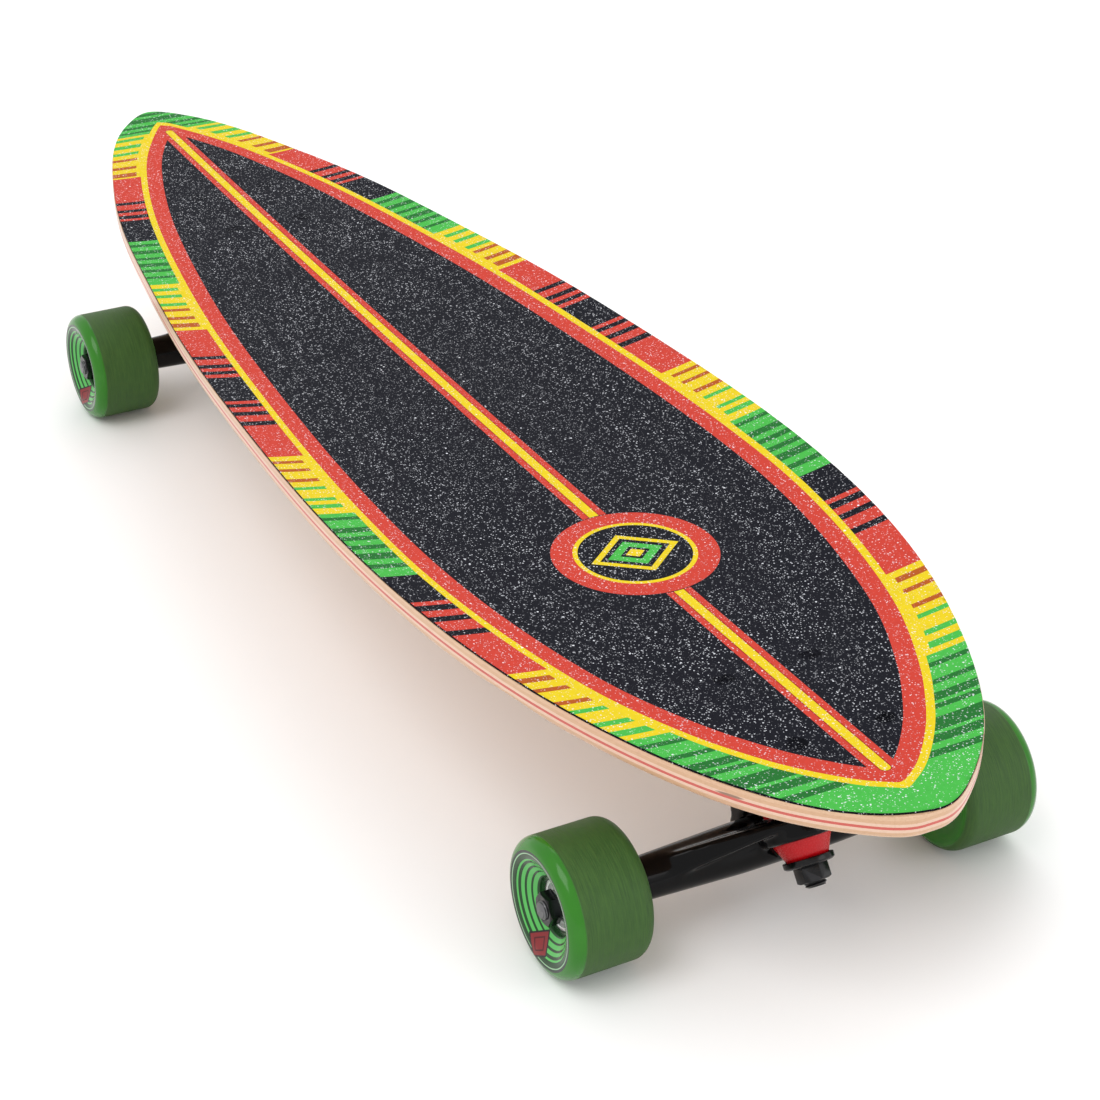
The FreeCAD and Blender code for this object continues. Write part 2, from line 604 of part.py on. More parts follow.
# ---------------------------------------------------------------- wheel
def tyre(lateral):
    """Poured urethane wheel with rounded lips and a dished printed face."""
    bearing_seats_end = BEARING_STARTS[1] + BEARING_WIDTH
    core_start = BEARING_STARTS[0] + BEARING_WIDTH
    inner_lip = [(TREAD_START, WHEEL_RADIUS), INNER_LIP_MIDDLE, (WHEEL_INNER, INNER_LIP_RADIUS)]
    outer_lip = [(WHEEL_OUTER, OUTER_LIP_RADIUS), OUTER_LIP_MIDDLE, (TREAD_END, WHEEL_RADIUS)]
    dish_floor = (bearing_seats_end + DISH_FLOOR_GAP, DISH_FLOOR_RADIUS)
    back_floor = BEARING_STARTS[0] - BACK_FLOOR_GAP

    def point(along, radius):
        return Vector(along, 0, radius)

    def polyline(*pairs):
        points = [point(*pair) for pair in pairs]
        return [Part.makeLine(a, b) for a, b in zip(points, points[1:])]

    def arc(three):
        return [Part.Arc(*(point(*pair) for pair in three)).toShape()]

    edges = (
        arc(inner_lip)
        + polyline(inner_lip[2], (WHEEL_INNER, BACK_EDGE_RADIUS), (back_floor, BACK_FLOOR_RADIUS),
                   (back_floor, BEARING_OUTER_RADIUS), (core_start, BEARING_OUTER_RADIUS),
                   (core_start, CORE_BORE_RADIUS), (BEARING_STARTS[1], CORE_BORE_RADIUS),
                   (BEARING_STARTS[1], BEARING_OUTER_RADIUS), (bearing_seats_end, BEARING_OUTER_RADIUS),
                   dish_floor, DISH_CORNER, (WHEEL_OUTER, DISH_EDGE_RADIUS), outer_lip[0])
        + arc(outer_lip)
        + polyline(outer_lip[2], inner_lip[0])
    )
    wheel = Part.Face(Part.Wire(Part.__sortEdges__(edges))).revolve(Vector(), X_AXIS, 360)
    wheel.Placement = Placement(AXLE_CENTRE, Rotation(X_AXIS, Y_AXIS * lateral))
    return wheel


def shields(lateral, start):
    """Two pressed dust shields of one bearing, held by the outer race."""
    outward = Y_AXIS * lateral
    far = start + BEARING_WIDTH - SHIELD_RECESS - SHIELD_THICKNESS
    return [
        tube(along_axle(lateral, face), outward, OUTER_RACE_BORE, SHIELD_INNER_RADIUS, SHIELD_THICKNESS)
        for face in (start + SHIELD_RECESS, far)
    ]


def balls(lateral, start):
    """Bearing balls in their race track."""
    middle = along_axle(lateral, start + BEARING_WIDTH / 2)
    spokes = (Rotation(Y_AXIS, 360 * k / BALL_COUNT).multVec(X_AXIS) for k in range(BALL_COUNT))
    return [Part.makeSphere(BALL_RADIUS, middle + spoke * BALL_PITCH_RADIUS) for spoke in spokes]


def cage(lateral, start):
    """Crown cage that spaces the balls of one bearing."""
    ring_start = along_axle(lateral, start + BEARING_WIDTH / 2 + CAGE_START)
    ring = tube(ring_start, Y_AXIS * lateral, CAGE_OUTER_RADIUS, CAGE_INNER_RADIUS, CAGE_END - CAGE_START)
    return ring.cut(group(balls(lateral, start)))


# ---------------------------------------------------------------- write every piece
os.makedirs("parts", exist_ok=True)

bolt_cutters = [
    placed(bolt_blank(position, BOLT_HOLE_RADIUS, CUTTER_REACH / 4), side)
    for side in (1, -1)
    for position in bolt_positions()
]
well_cutters = [well_cutter(end, lateral) for end in (1, -1) for lateral in (1, -1)]

export("grip_sheet", deck_layer(0, GRIP_THICKNESS, GRIP_INSET).cut(bolt_cutters))
depth = GRIP_THICKNESS
for ply_name, thickness, inset in PLIES:
    ply = deck_layer(depth, depth + thickness, inset).cut(bolt_cutters + well_cutters)
    export(ply_name, ply)
    depth += thickness

for end_name, side in (("nose", 1), ("tail", -1)):
    fixed = {
        "baseplate": baseplate(),
        "pivot_cup": pivot_cup(),
        "kingpin": kingpin(),
        "board_bushing": board_bushing(),
        "road_bushing": road_bushing(),
        "bushing_washers": group([
            cup_washer(BOARD_WASHER_RADIUS, on_kingpin(BOSS_FACE + WASHER_THICKNESS), -KINGPIN_DIR),
            cup_washer(ROAD_WASHER_RADIUS, on_kingpin(NUT_START - WASHER_THICKNESS), KINGPIN_DIR),
        ]),
        "kingpin_nut": kingpin_nut(),
        "deck_bolts": group([deck_bolt(position) for position in bolt_positions()]),
        "deck_nuts": group([deck_nut(position) for position in bolt_positions()]),
        "hanger": hanger(),
        "axle": axle(),
        "axle_nuts": group([axle_nut(lateral) for lateral in (1, -1)]),
        "speed_washers": group([
            speed_washer(lateral, start)
            for lateral in (1, -1)
            for start in (HANGER_HALF, BEARING_STARTS[1] + BEARING_WIDTH)
        ]),
        "spacers": group([bearing_spacer(lateral) for lateral in (1, -1)]),
        "inner_races": group([
            race(lateral, start, INNER_RACE_RADIUS, AXLE_RADIUS)
            for lateral in (1, -1)
            for start in BEARING_STARTS
        ]),
    }
    for piece_name, shape in fixed.items():
        export(end_name + "_" + piece_name, placed(shape, side))

    for lateral in (1, -1):
        wheel_name = end_name + ("_left" if lateral * side > 0 else "_right")
        wheel_pieces = {
            "tyre": tyre(lateral),
            "outer_races": group([
                race(lateral, start, BEARING_OUTER_RADIUS, OUTER_RACE_BORE) for start in BEARING_STARTS
            ]),
            "shields": group([shield for start in BEARING_STARTS for shield in shields(lateral, start)]),
            "balls": group([ball for start in BEARING_STARTS for ball in balls(lateral, start)]),
            "cages": group([cage(lateral, start) for start in BEARING_STARTS]),
        }
        for piece_name, shape in wheel_pieces.items():
            export(wheel_name + "_" + piece_name, placed(shape, side))
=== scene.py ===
"""Looks of the pintail cruiser skateboard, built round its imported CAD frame.

Everything is in metres, in the frame's own axes: +X to the nose, +Y to the left, +Z up.
"""

import math

import bmesh
import bpy
import numpy as np
from mathutils import Euler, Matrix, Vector
from mathutils.geometry import convex_hull_2d


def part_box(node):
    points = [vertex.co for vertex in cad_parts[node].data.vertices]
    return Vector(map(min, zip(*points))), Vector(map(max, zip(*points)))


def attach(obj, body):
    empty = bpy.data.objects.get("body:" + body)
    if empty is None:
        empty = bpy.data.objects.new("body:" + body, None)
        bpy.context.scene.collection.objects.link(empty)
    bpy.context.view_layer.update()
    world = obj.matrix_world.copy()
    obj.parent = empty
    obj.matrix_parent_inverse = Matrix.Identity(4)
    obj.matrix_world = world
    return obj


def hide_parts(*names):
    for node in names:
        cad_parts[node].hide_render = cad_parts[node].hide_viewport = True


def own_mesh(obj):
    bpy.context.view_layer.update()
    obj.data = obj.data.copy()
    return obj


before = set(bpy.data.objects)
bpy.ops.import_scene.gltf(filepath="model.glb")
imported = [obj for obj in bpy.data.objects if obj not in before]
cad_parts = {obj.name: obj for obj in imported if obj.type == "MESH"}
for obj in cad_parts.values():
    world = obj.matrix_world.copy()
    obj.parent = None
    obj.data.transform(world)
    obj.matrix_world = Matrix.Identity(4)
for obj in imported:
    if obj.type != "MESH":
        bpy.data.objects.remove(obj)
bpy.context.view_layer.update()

MM = 0.001

# ---------------- stage
CAMERA_PLACE = Vector((1.0329, -0.4791, 0.6443))
CAMERA_TURN_DEG = (60.571, -0.039, 62.314)
CAMERA_LENS = 81.79
SENSOR_WIDTH = 36.0
LIGHTS = (  # name, place, aim, side of the square, watts
    ("key", (0.6, -1.6, 2.6), (0, 0, 0.05), 1.8, 30.0),
    ("fill", (-1.8, 1.2, 2.2), (0, 0, 0.05), 2.2, 18.0),
    ("rim", (2.4, 1.6, 1.2), (0.2, 0, 0.05), 1.6, 14.0),
)
FLOOR_SIZE = 40.0

# ---------------- deck, as bent in the CAD
TRUCK_MID_X = 41.0 * MM
ROCKER_RADIUS = 16400.0 * MM
CONCAVE_RADIUS = 405.0 * MM
FLAT_HALF_WIDTH = 30.0 * MM
DECK_TOP_Z = 101.336 * MM  # height of the top surface midway between the trucks
DECK_THICKNESS = 11.2 * MM  # with the grip
GRIP_THICKNESS = 1.0 * MM
PLIES = (  # CAD node, thickness, kind of veneer
    ("ply_1_face", 1.6 * MM, "face"),
    ("ply_2_core", 1.6 * MM, "core"),
    ("ply_3_cross", 1.3 * MM, "cross"),
    ("ply_4_dyed", 1.2 * MM, "dyed"),
    ("ply_5_cross", 1.3 * MM, "cross"),
    ("ply_6_core", 1.6 * MM, "core"),
    ("ply_7_face", 1.6 * MM, "face"),
)
ROUND_DEPTH = 4.0 * MM  # rounding of the bottom edge: height and reach inwards
ROUND_REACH = 2.4 * MM
WELL_OFFSET_X = 238.0 * MM
WELL_RADIUS = 150.0 * MM
WELL_DEPTH = 2.0 * MM
WELL_OUTER_Y = 98.0 * MM
WELL_INNER_Y = 70.0 * MM
NO_WELL = -1.0  # height that stands for no well
KNOT_AHEAD = 337.0 * MM  # dark knot in the upper cross veneer's edge: from the truck midpoint
KNOT_SIDE = -57.0 * MM
KNOT_SIZE = (5.5 * MM, 0.75 * MM)
FLECKS = (6.0 * MM, 1.0 * MM, 0.25)  # pale flecks in the wood, given like a grit layer
OUTLINE_STEPS = 420  # stations from nose to tail
ACROSS_STEPS = 16
PLAIN_RIM_STEPS = 2  # levels in a veneer's edge, plain or in the rounding
ROUND_RIM_STEPS = 8
WELD = 0.001 * MM  # corners closer than this become one
PRINT_CELL = 5.0 * MM  # mesh size of the printed sheet

# ---------------- print, in millimetres from the truck midpoint
CONTOUR = (  # outer edge of the yellow line: distance ahead, half width
    (370, 0), (360, 14.5), (340, 33), (320, 46.7), (300, 58), (260, 75),
    (200, 89.5), (140, 97), (80, 98.5), (20, 97), (-60, 92), (-140, 85),
    (-220, 74), (-300, 59.3), (-360, 43.3), (-400, 28.8), (-440, 7.5), (-450, 0),
)
CONTOUR_STEPS = 24  # curve steps between two stations, then even steps along the whole
CONTOUR_CUTS = 360
YELLOW_LINE = 3.6
DARK_LINE = 0.5
RED_BAND_END = 12.6
STRINGER_YELLOW = 2.3
STRINGER_RED = 6.0
STRINGER_ENDS = (-432.0, 356.0)
DISC_CENTRE = 160.5
DISC_RADIUS = 37.5
DISC_RING_START = 25.5  # inner edge of the disc's red and yellow rings
YELLOW_RING = 2.2
DIAMOND_HALF = (18.0, 22.0)  # largest diamond inside the rings: reach ahead and to the side
DIAMONDS = ((1.0, "yellow"), (0.80, "black"), (0.62, "green"), (0.34, "black"), (0.22, "yellow"))
BLOCKS = (  # start of each block of the border, from the tail tip
    (-480, "green"), (-432, "yellow"), (-368, "red"), (-300, "black"),
    (-271, "green"), (-207, "yellow"), (-143, "red"), (-77, "black"),
    (-51, "red"), (15, "yellow"), (78, "green"), (142, "black"),
    (167, "red"), (234, "yellow"), (295, "green"),
)
LINES = (  # thin lines across the border: start, end, colour
    (-465, -461, "dark_green"), (-457.5, -451, "dark_green"), (-446, -442.5, "dark_green"),
    (-438.5, -436, "dark_green"),
    (-429, -425, "green"), (-419, -414, "green"), (-408, -404, "green"),
    (-398, -394.5, "brown"), (-386, -382, "brown"), (-376, -370, "brown"),
    (-331, -327, "black"), (-319.5, -315.5, "black"), (-311, -306, "black"),
    (-303, -300, "black"),
    (-266.5, -262.5, "dark_green"), (-257, -252, "dark_green"), (-246.5, -243, "dark_green"),
    (-238, -233, "dark_green"), (-229, -225, "dark_green"), (-219, -216, "dark_green"),
    (-201.5, -197.5, "green"), (-192, -188, "green"), (-180.5, -176.5, "green"),
    (-172.5, -169, "brown"), (-161.5, -157.5, "brown"), (-152.5, -147, "brown"),
    (-108, -104, "black"), (-97, -92.5, "black"), (-88.5, -84.5, "black"), (-80.5, -77, "black"),
    (-47.5, -43.5, "black"), (-38, -33.5, "black"), (-26.5, -21.5, "black"),
    (20, 23, "brown"), (29, 32, "brown"), (40, 43.5, "brown"),
    (49, 52, "green"), (61, 64, "green"), (68, 72, "green"),
    (82, 85, "dark_green"), (93, 98, "dark_green"), (102, 106, "dark_green"),
    (111, 115, "dark_green"), (119, 125, "dark_green"), (130, 134, "dark_green"),
    (170.5, 175.5, "black"), (181, 185.5, "black"), (194, 198.5, "black"),
    (238.5, 242.5, "brown"), (248, 251, "brown"), (259.5, 262.5, "brown"),
    (267.5, 270.5, "green"), (279, 282.5, "green"), (287, 291.5, "green"),
    (300, 303, "dark_green"), (311, 314, "dark_green"), (319, 324, "dark_green"),
    (326, 329, "dark_green"), (334, 342, "dark_green"), (344, 349, "dark_green"),
    (353, 357, "dark_green"),
)
LINE_GAP = {"brown": 2.4, "green": 2.4}  # bare strip between these lines and the yellow contour
INKS = {  # linear colours
    "black": (0.003, 0.0035, 0.008),
    "red": (0.560, 0.048, 0.030),
    "dark_red": (0.300, 0.020, 0.010),
    "yellow": (0.740, 0.560, 0.010),
    "green": (0.060, 0.440, 0.062),
    "dark_green": (0.014, 0.150, 0.024),
    "brown": (0.420, 0.090, 0.010),
}

PRINT_WEAR = 0.22  # most that black shows through the inks
GRIT_AND_GLINT_TONE = (0.84, 0.86, 0.92)
GRIT_HEIGHT = 0.12 * MM
GRIT_AND_GLINT_LAYERS = (  # pale specks painted in the colour: grit, and in the first, finest and dimmest layer painted sparkle, glints of the grit; cell, widest speck, share of cells with one, dimmest and brightest
    (0.80 * MM, 0.50 * MM, 0.42, 0.00, 0.34),
    (1.10 * MM, 0.80 * MM, 0.60, 0.12, 0.70),
    (2.60 * MM, 1.10 * MM, 0.24, 0.35, 0.85),
)

# ---------------- wheels, across the board from its middle
WHEEL_RADIUS = 30.0 * MM
WHEEL_INNER = 74.7 * MM
WHEEL_OUTER = 112.8 * MM
WHEEL_MIDDLE = (WHEEL_INNER + WHEEL_OUTER) / 2
TREAD_SPAN = (80.5 * MM, 106.8 * MM)
TREAD_STEPS = 12
INNER_LIP = ((WHEEL_INNER, 25.0 * MM), (76.4 * MM, 28.3 * MM), (TREAD_SPAN[0], WHEEL_RADIUS))
OUTER_LIP = ((TREAD_SPAN[1], WHEEL_RADIUS), (111.0 * MM, 28.4 * MM), (WHEEL_OUTER, 25.2 * MM))
FLAT_RIM_RADIUS = 24.6 * MM
DISH_EDGE = ((112.6 * MM, 23.9 * MM), (112.35 * MM, 22.4 * MM), (111.6 * MM, 20.7 * MM))
DISH_FOOT = ((106.6 * MM, 13.1 * MM), (106.2 * MM, 12.6 * MM), (105.6 * MM, 12.35 * MM))
DISH_STEPS = 10
SEAT_MOUTH = (0.4 * MM, 12.2 * MM, 0.2 * MM)  # past the bearing, its radius, play round the bearing
BACK_RECESS = (1.0 * MM, 13.0 * MM)  # before the bearing, its radius
BACK_FACE_RADII = (20.0 * MM, 22.5 * MM)
GROUND_SPAN = (75.4, 107.2)  # in millimetres: part of the tread left matt by grinding, its least radius
GROUND_LEAST_RADIUS = 26.0
BEARING_STARTS = (78.5 * MM, 97.5 * MM)
BEARING_WIDTH = 7.0 * MM
BEARING_RADIUS = 11.0 * MM
CORE_BORE_RADIUS = 9.4 * MM
SHIELD_RECESS = 0.3 * MM
SHIELD_THICKNESS = 0.1575 * MM
SHIELD_PROFILE = (  # radius, how deep the pressed sheet lies there
    (6.35 * MM, 0.10 * MM), (6.9 * MM, 0.02 * MM), (7.5 * MM, 0.0), (8.2 * MM, 0.0),
    (8.5 * MM, 0.16 * MM), (9.0 * MM, 0.18 * MM),
)
INNER_RACE_RADIUS = 6.0 * MM
OUTER_RACE_RADIUS = 9.0 * MM
RACE_CHAMFER = 0.35 * MM
FACE_FROM_MIDDLE = 5.0  # the printed face, in millimetres: how far outside the wheel's middle
FACE_RADIUS = 25.3
HUB_RADIUS = 13.0
FACE_RINGS = (  # light rings: inner and outer radius
    (13.2, 14.8), (15.6, 17.2), (18.1, 19.45), (20.6, 21.35),
)
THIN_RING = (23.65, 24.1)
DARK_RIM_START = 24.35  # radius
LOZENGE_TURN_DEG = -80
LOZENGE_RADIUS = 19.6  # its middle
LOZENGE_HALF = (6.6, 7.6)  # its reach outwards and sideways
AXLE_RADIUS = 3.97 * MM
AXLE_HALF = 112.4 * MM
AXLE_THREAD = 9.0 * MM
AXLE_CHAMFER = 0.7 * MM
LATHE_STEPS = 128  # steps round a wheel, a ring or bushing, a shaft
RING_STEPS = 96
SHAFT_STEPS = 64
AXLE_STATIONS = 121  # along the whole axle, and along each thread
AXLE_THREAD_STATIONS = 71
TIP_RADIUS = 0.02 * MM  # closes a turned shape on its axis
LATHE_WELD = 0.002 * MM

# ---------------- trucks
AXLE_GROOVE = (1.06 * MM, 0.45 * MM)  # pitch and depth of a thread
KINGPIN_GROOVE = (1.3 * MM, 0.5 * MM)
KINGPIN_RADIUS = 4.76 * MM
KINGPIN_THREAD = 18.0 * MM
KINGPIN_THREAD_STATIONS = 121
KINGPIN_CHAMFER = 0.8 * MM
HEAD_HEIGHT = 6.0 * MM
HEAD_RADIUS = 7.0 * MM
HEAD_CHAMFER = 1.0 * MM
BUSHING_BORE = 4.95 * MM
BUSHING_PROFILES = {  # share of the height, radius, rounding
    "board": ((0.0, 12.5 * MM, 0.9 * MM), (0.28, 12.5 * MM, 1.5 * MM), (0.5, 12.1 * MM, 3.0 * MM),
              (0.72, 12.5 * MM, 1.5 * MM), (1.0, 12.5 * MM, 0.9 * MM)),
    "road": ((0.0, 12.5 * MM, 0.5 * MM), (0.22, 12.5 * MM, 1.2 * MM), (1.0, 8.6 * MM, 0.9 * MM)),
}
CAST_VOXEL = 0.7 * MM  # cell of the remeshed castings
MACHINED_ROUNDS = 3  # smoothing rounds on every face of a casting
HANGER_ROUNDS = 32  # further rounds away from the bushing seats and the tube ends
BASEPLATE_ROUNDS = 8
SEAT_KEEP_RADIUS = 14.2 * MM  # round the kingpin's axis
TUBE_END_KEEP = 72.0 * MM


# ---------------- material graphs
COLOUR_MIX_INPUTS = (0, 6, 7)  # sockets of the Mix node when it mixes colours
COLOUR_MIX_OUTPUT = 2


class Graph:
    """Short names for building one material's nodes."""

    def __init__(self, name):
        self.material = bpy.data.materials.new(name)
        self.material.use_nodes = True
        self.tree = self.material.node_tree
        self.shader = self.tree.nodes["Principled BSDF"]

    def set(self, **inputs):
        """Set or link sockets of the shader; an underscore stands for a space in a name."""
        for name, value in inputs.items():
            self.feed(self.shader.inputs[name.replace("_", " ")], value)

    def feed(self, socket, value):
        if isinstance(value, bpy.types.NodeSocket):
            self.tree.links.new(value, socket)
        elif isinstance(value, tuple) and len(value) == 3 and socket.type == "RGBA":
            socket.default_value = (*value, 1.0)
        else:
            socket.default_value = value

    def node(self, kind, settings=None, **inputs):
        made = self.tree.nodes.new(kind)
        for name, value in (settings or {}).items():
            setattr(made, name, value)
        for name, value in inputs.items():
            self.feed(made.inputs[name.replace("_", " ")], value)
        return made

    def math(self, operation, *values):
        made = self.node("ShaderNodeMath", {"operation": operation})
        for socket, value in zip(made.inputs, values):
            self.feed(socket, value)
        return made.outputs[0]

    def plus(self, first, second):
        return self.math("ADD", first, second)

    def minus(self, first, second):
        return self.math("SUBTRACT", first, second)

    def times(self, first, second):
        return self.math("MULTIPLY", first, second)

    def size(self, value):
        return self.math("ABSOLUTE", value)

    def hypot(self, first, second):
        squares = [self.math("POWER", value, 2.0) for value in (first, second)]
        return self.math("SQRT", self.plus(*squares))

    def above(self, value, edge, soft=0.0):
        """1 where value is above edge, with an optional soft change."""
        if not soft:
            return self.math("GREATER_THAN", value, edge)
        ramp = self.node("ShaderNodeMapRange", {"interpolation_type": "SMOOTHSTEP"},
                         Value=value, From_Min=edge - soft, From_Max=edge + soft)
        return ramp.outputs["Result"]

    def below(self, value, edge, soft=0.0):
        return self.minus(1.0, self.above(value, edge, soft))

    def between(self, value, low, high, soft=0.0):
        return self.times(self.above(value, low, soft), self.below(value, high, soft))

    def blend(self, factor, under, over):
        """Colour under, with over on top where factor is 1."""
        made = self.node("ShaderNodeMix", {"data_type": "RGBA"})
        for socket, value in zip(COLOUR_MIX_INPUTS, (factor, under, over)):
            self.feed(made.inputs[socket], value)
        return made.outputs[COLOUR_MIX_OUTPUT]

    def span(self, value, low, high):
        """Map 0..1 to low..high."""
        return self.node("ShaderNodeMapRange", Value=value, To_Min=low, To_Max=high).outputs["Result"]

    def place(self, stretch=(1.0, 1.0, 1.0)):
        """Object coordinates, stretched."""
        at = self.node("ShaderNodeTexCoord").outputs["Object"]
        return self.node("ShaderNodeMapping", Vector=at, Scale=stretch).outputs["Vector"]

    def axes(self):
        """Object coordinates as separate x, y and z."""
        at = self.node("ShaderNodeTexCoord").outputs["Object"]
        return self.node("ShaderNodeSeparateXYZ", Vector=at).outputs

    def noise(self, scale, detail=3.0, stretch=(1.0, 1.0, 1.0), rough=0.5):
        settings = {"Scale": scale, "Detail": detail, "Roughness": rough}
        return self.node("ShaderNodeTexNoise", Vector=self.place(stretch), **settings).outputs[0]

    def bump(self, height, distance, strength):
        made = self.node("ShaderNodeBump", Height=height, Distance=distance, Strength=strength)
        return made.outputs["Normal"]

    def attribute(self, name, output="Fac"):
        return self.node("ShaderNodeAttribute", {"attribute_name": name}).outputs[output]


SMALLEST_SPECK = 0.45  # against the widest


def speck_mask(graph, cell, size, share):
    """Random round specks: one cell is cell wide, a speck is up to size wide, in a share of the cells."""
    cells = graph.node("ShaderNodeTexVoronoi", Vector=graph.place(), Scale=1 / cell)
    pick = graph.node("ShaderNodeSeparateXYZ", Vector=cells.outputs["Color"]).outputs
    radius = graph.times(graph.span(pick[1], SMALLEST_SPECK, 1.0), size / 2 / cell)
    round_dot = graph.math("LESS_THAN", cells.outputs["Distance"], radius)
    return graph.times(round_dot, graph.below(pick[0], share)), pick[2]


def printed_grip():
    """Striped print under clear grit: inks by block, line and distance inside the contour."""
    g = Graph("printed_grip")
    inset = g.attribute("inset")
    x, y, _ = g.axes()
    ahead = g.times(g.minus(x, TRUCK_MID_X), 1 / MM)
    side = g.size(g.times(y, 1 / MM))

    outside = g.times(inset, -1.0)
    on_line = g.math("GREATER_THAN", outside, g.attribute("line_gap"))
    colour = g.blend(on_line, g.attribute("block", "Color"), g.attribute("line", "Color"))
    colour = g.blend(g.above(inset, 0.0), colour, INKS["yellow"])
    colour = g.blend(g.above(inset, YELLOW_LINE), colour, INKS["red"])
    field = g.times(g.above(inset, RED_BAND_END), g.above(side, STRINGER_RED))
    colour = g.blend(field, colour, INKS["black"])

    middle = sum(STRINGER_ENDS) / 2
    reach = (STRINGER_ENDS[1] - STRINGER_ENDS[0]) / 2 - STRINGER_YELLOW
    past_end = g.math("MAXIMUM", g.minus(g.size(g.minus(ahead, middle)), reach), 0.0)
    capsule = g.hypot(past_end, side)
    colour = g.blend(g.below(capsule, STRINGER_YELLOW + DARK_LINE), colour, INKS["dark_red"])
    colour = g.blend(g.below(capsule, STRINGER_YELLOW), colour, INKS["yellow"])

    along = g.size(g.minus(ahead, DISC_CENTRE))
    from_disc = g.hypot(along, side)
    colour = g.blend(g.below(from_disc, DISC_RADIUS + DARK_LINE), colour, INKS["black"])
    colour = g.blend(g.below(from_disc, DISC_RADIUS), colour, INKS["red"])
    colour = g.blend(g.below(from_disc, DISC_RING_START + YELLOW_RING), colour, INKS["yellow"])
    colour = g.blend(g.below(from_disc, DISC_RING_START), colour, INKS["black"])
    diamond = g.plus(g.times(along, 1 / DIAMOND_HALF[0]), g.times(side, 1 / DIAMOND_HALF[1]))
    for edge, ink in DIAMONDS:
        colour = g.blend(g.below(diamond, edge), colour, INKS[ink])
    wear = g.span(g.noise(420, 4), 0.0, PRINT_WEAR)
    colour = g.blend(wear, colour, INKS["black"])

    grit = g.noise(1400, 2)
    # pale specks: grit, with painted glints (sparkle) in the first, finest layer
    for cell, size, share, dimmest, brightest in GRIT_AND_GLINT_LAYERS:
        specks, tone = speck_mask(g, cell, size, share)
        colour = g.blend(g.times(specks, g.span(tone, dimmest, brightest)), colour, GRIT_AND_GLINT_TONE)
        grit = g.plus(grit, specks)
    g.set(Base_Color=colour, Roughness=g.span(g.noise(900, 2), 0.52, 0.74), Specular_IOR_Level=0.06,
          Normal=g.bump(grit, GRIT_HEIGHT, 0.55))
    return g.material


def maple(name, pale, dark, ring_scale, red_flush, knot=None):
    """Lacquered maple veneer with its grain along the board; knot is the middle of a dark knot."""
    flush_tone, knot_tone, fleck_tone = (0.62, 0.30, 0.20), (0.150, 0.070, 0.035), (0.92, 0.90, 0.88)
    g = Graph(name)
    grain = g.noise(60, 6, (1.0, 14.0, 30.0), 0.6)
    rays = g.noise(ring_scale, 3, (2.0, 30.0, 60.0), 0.55)
    tone = g.plus(g.times(grain, 0.65), g.times(rays, 0.45))
    colour = g.blend(g.span(tone, -0.15, 1.0), pale, dark)
    flame = g.noise(9, 2, (1.0, 2.4, 1.0))
    colour = g.blend(g.times(g.above(flame, 0.56, 0.12), red_flush), colour, flush_tone)
    pores = g.above(g.noise(900, 2, (0.06, 1.0, 1.0)), 0.62, 0.05)
    colour = g.blend(g.times(pores, 0.28), colour, dark)
    if knot is not None:
        x, _, z = g.axes()
        along = g.times(g.minus(x, knot.x), 1 / KNOT_SIZE[0])
        up = g.times(g.minus(z, knot.z), 1 / KNOT_SIZE[1])
        away = g.hypot(along, up)
        ragged = g.plus(away, g.times(grain, 0.5))
        colour = g.blend(g.times(g.below(ragged, 1.1, 0.18), 0.8), colour, knot_tone)
    fleck, _ = speck_mask(g, *FLECKS)
    colour = g.blend(g.times(fleck, 0.55), colour, fleck_tone)
    g.set(Base_Color=colour, Roughness=g.span(grain, 0.30, 0.48), Coat_Weight=0.35, Coat_Roughness=0.22,
          Normal=g.bump(pores, -0.05 * MM, 0.4))
    return g.material


def cast_black():
    """Gloss black powder coat with a faint orange peel."""
    g = Graph("cast_black")
    peel = g.noise(520, 2)
    dust = g.above(g.noise(2600, 2), 0.73, 0.04)
    coat_tone, dust_tone = (0.0015, 0.0015, 0.0018), (0.03, 0.03, 0.033)
    colour = g.blend(g.times(dust, 0.2), coat_tone, dust_tone)
    g.set(Base_Color=colour, Roughness=g.span(peel, 0.10, 0.20), Specular_IOR_Level=0.10, Coat_Weight=0.08,
          Coat_Roughness=0.05, Normal=g.bump(peel, 0.04 * MM, 0.25))
    return g.material


def black_oxide():
    """Dark oiled steel, paler on sharp edges: partly rubbed by tools, partly a painted edge highlight."""
    g = Graph("black_oxide")
    patch = g.noise(380, 4)
    # paler on sharp edges by pointiness: partly tool rubbing, partly a painted highlight along the edges
    rub_and_edge_highlight = g.above(g.node("ShaderNodeNewGeometry").outputs["Pointiness"], 0.57, 0.03)
    oxide = g.blend(patch, (0.002, 0.002, 0.0025), (0.007, 0.007, 0.008))
    colour = g.blend(g.times(rub_and_edge_highlight, 0.25), oxide, (0.08, 0.08, 0.09))
    g.set(Base_Color=colour, Roughness=g.span(patch, 0.14, 0.30), Specular_IOR_Level=0.25,
          Normal=g.bump(g.noise(1800, 2), 0.03 * MM, 0.4))
    return g.material


def turned_steel(name, tone, rough, lines=1600.0):
    """Bare steel with fine turning lines round the axle."""
    g = Graph(name)
    turning = g.noise(lines, 2, (0.02, 1.0, 0.02))
    stain = g.noise(160, 3)
    colour = g.blend(g.span(stain, 0.0, 0.6), tone, tuple(part * 0.72 for part in tone))
    g.set(Base_Color=colour, Metallic=1.0, Roughness=g.span(turning, rough, rough + 0.16),
          Normal=g.bump(turning, 0.02 * MM, 0.5))
    return g.material


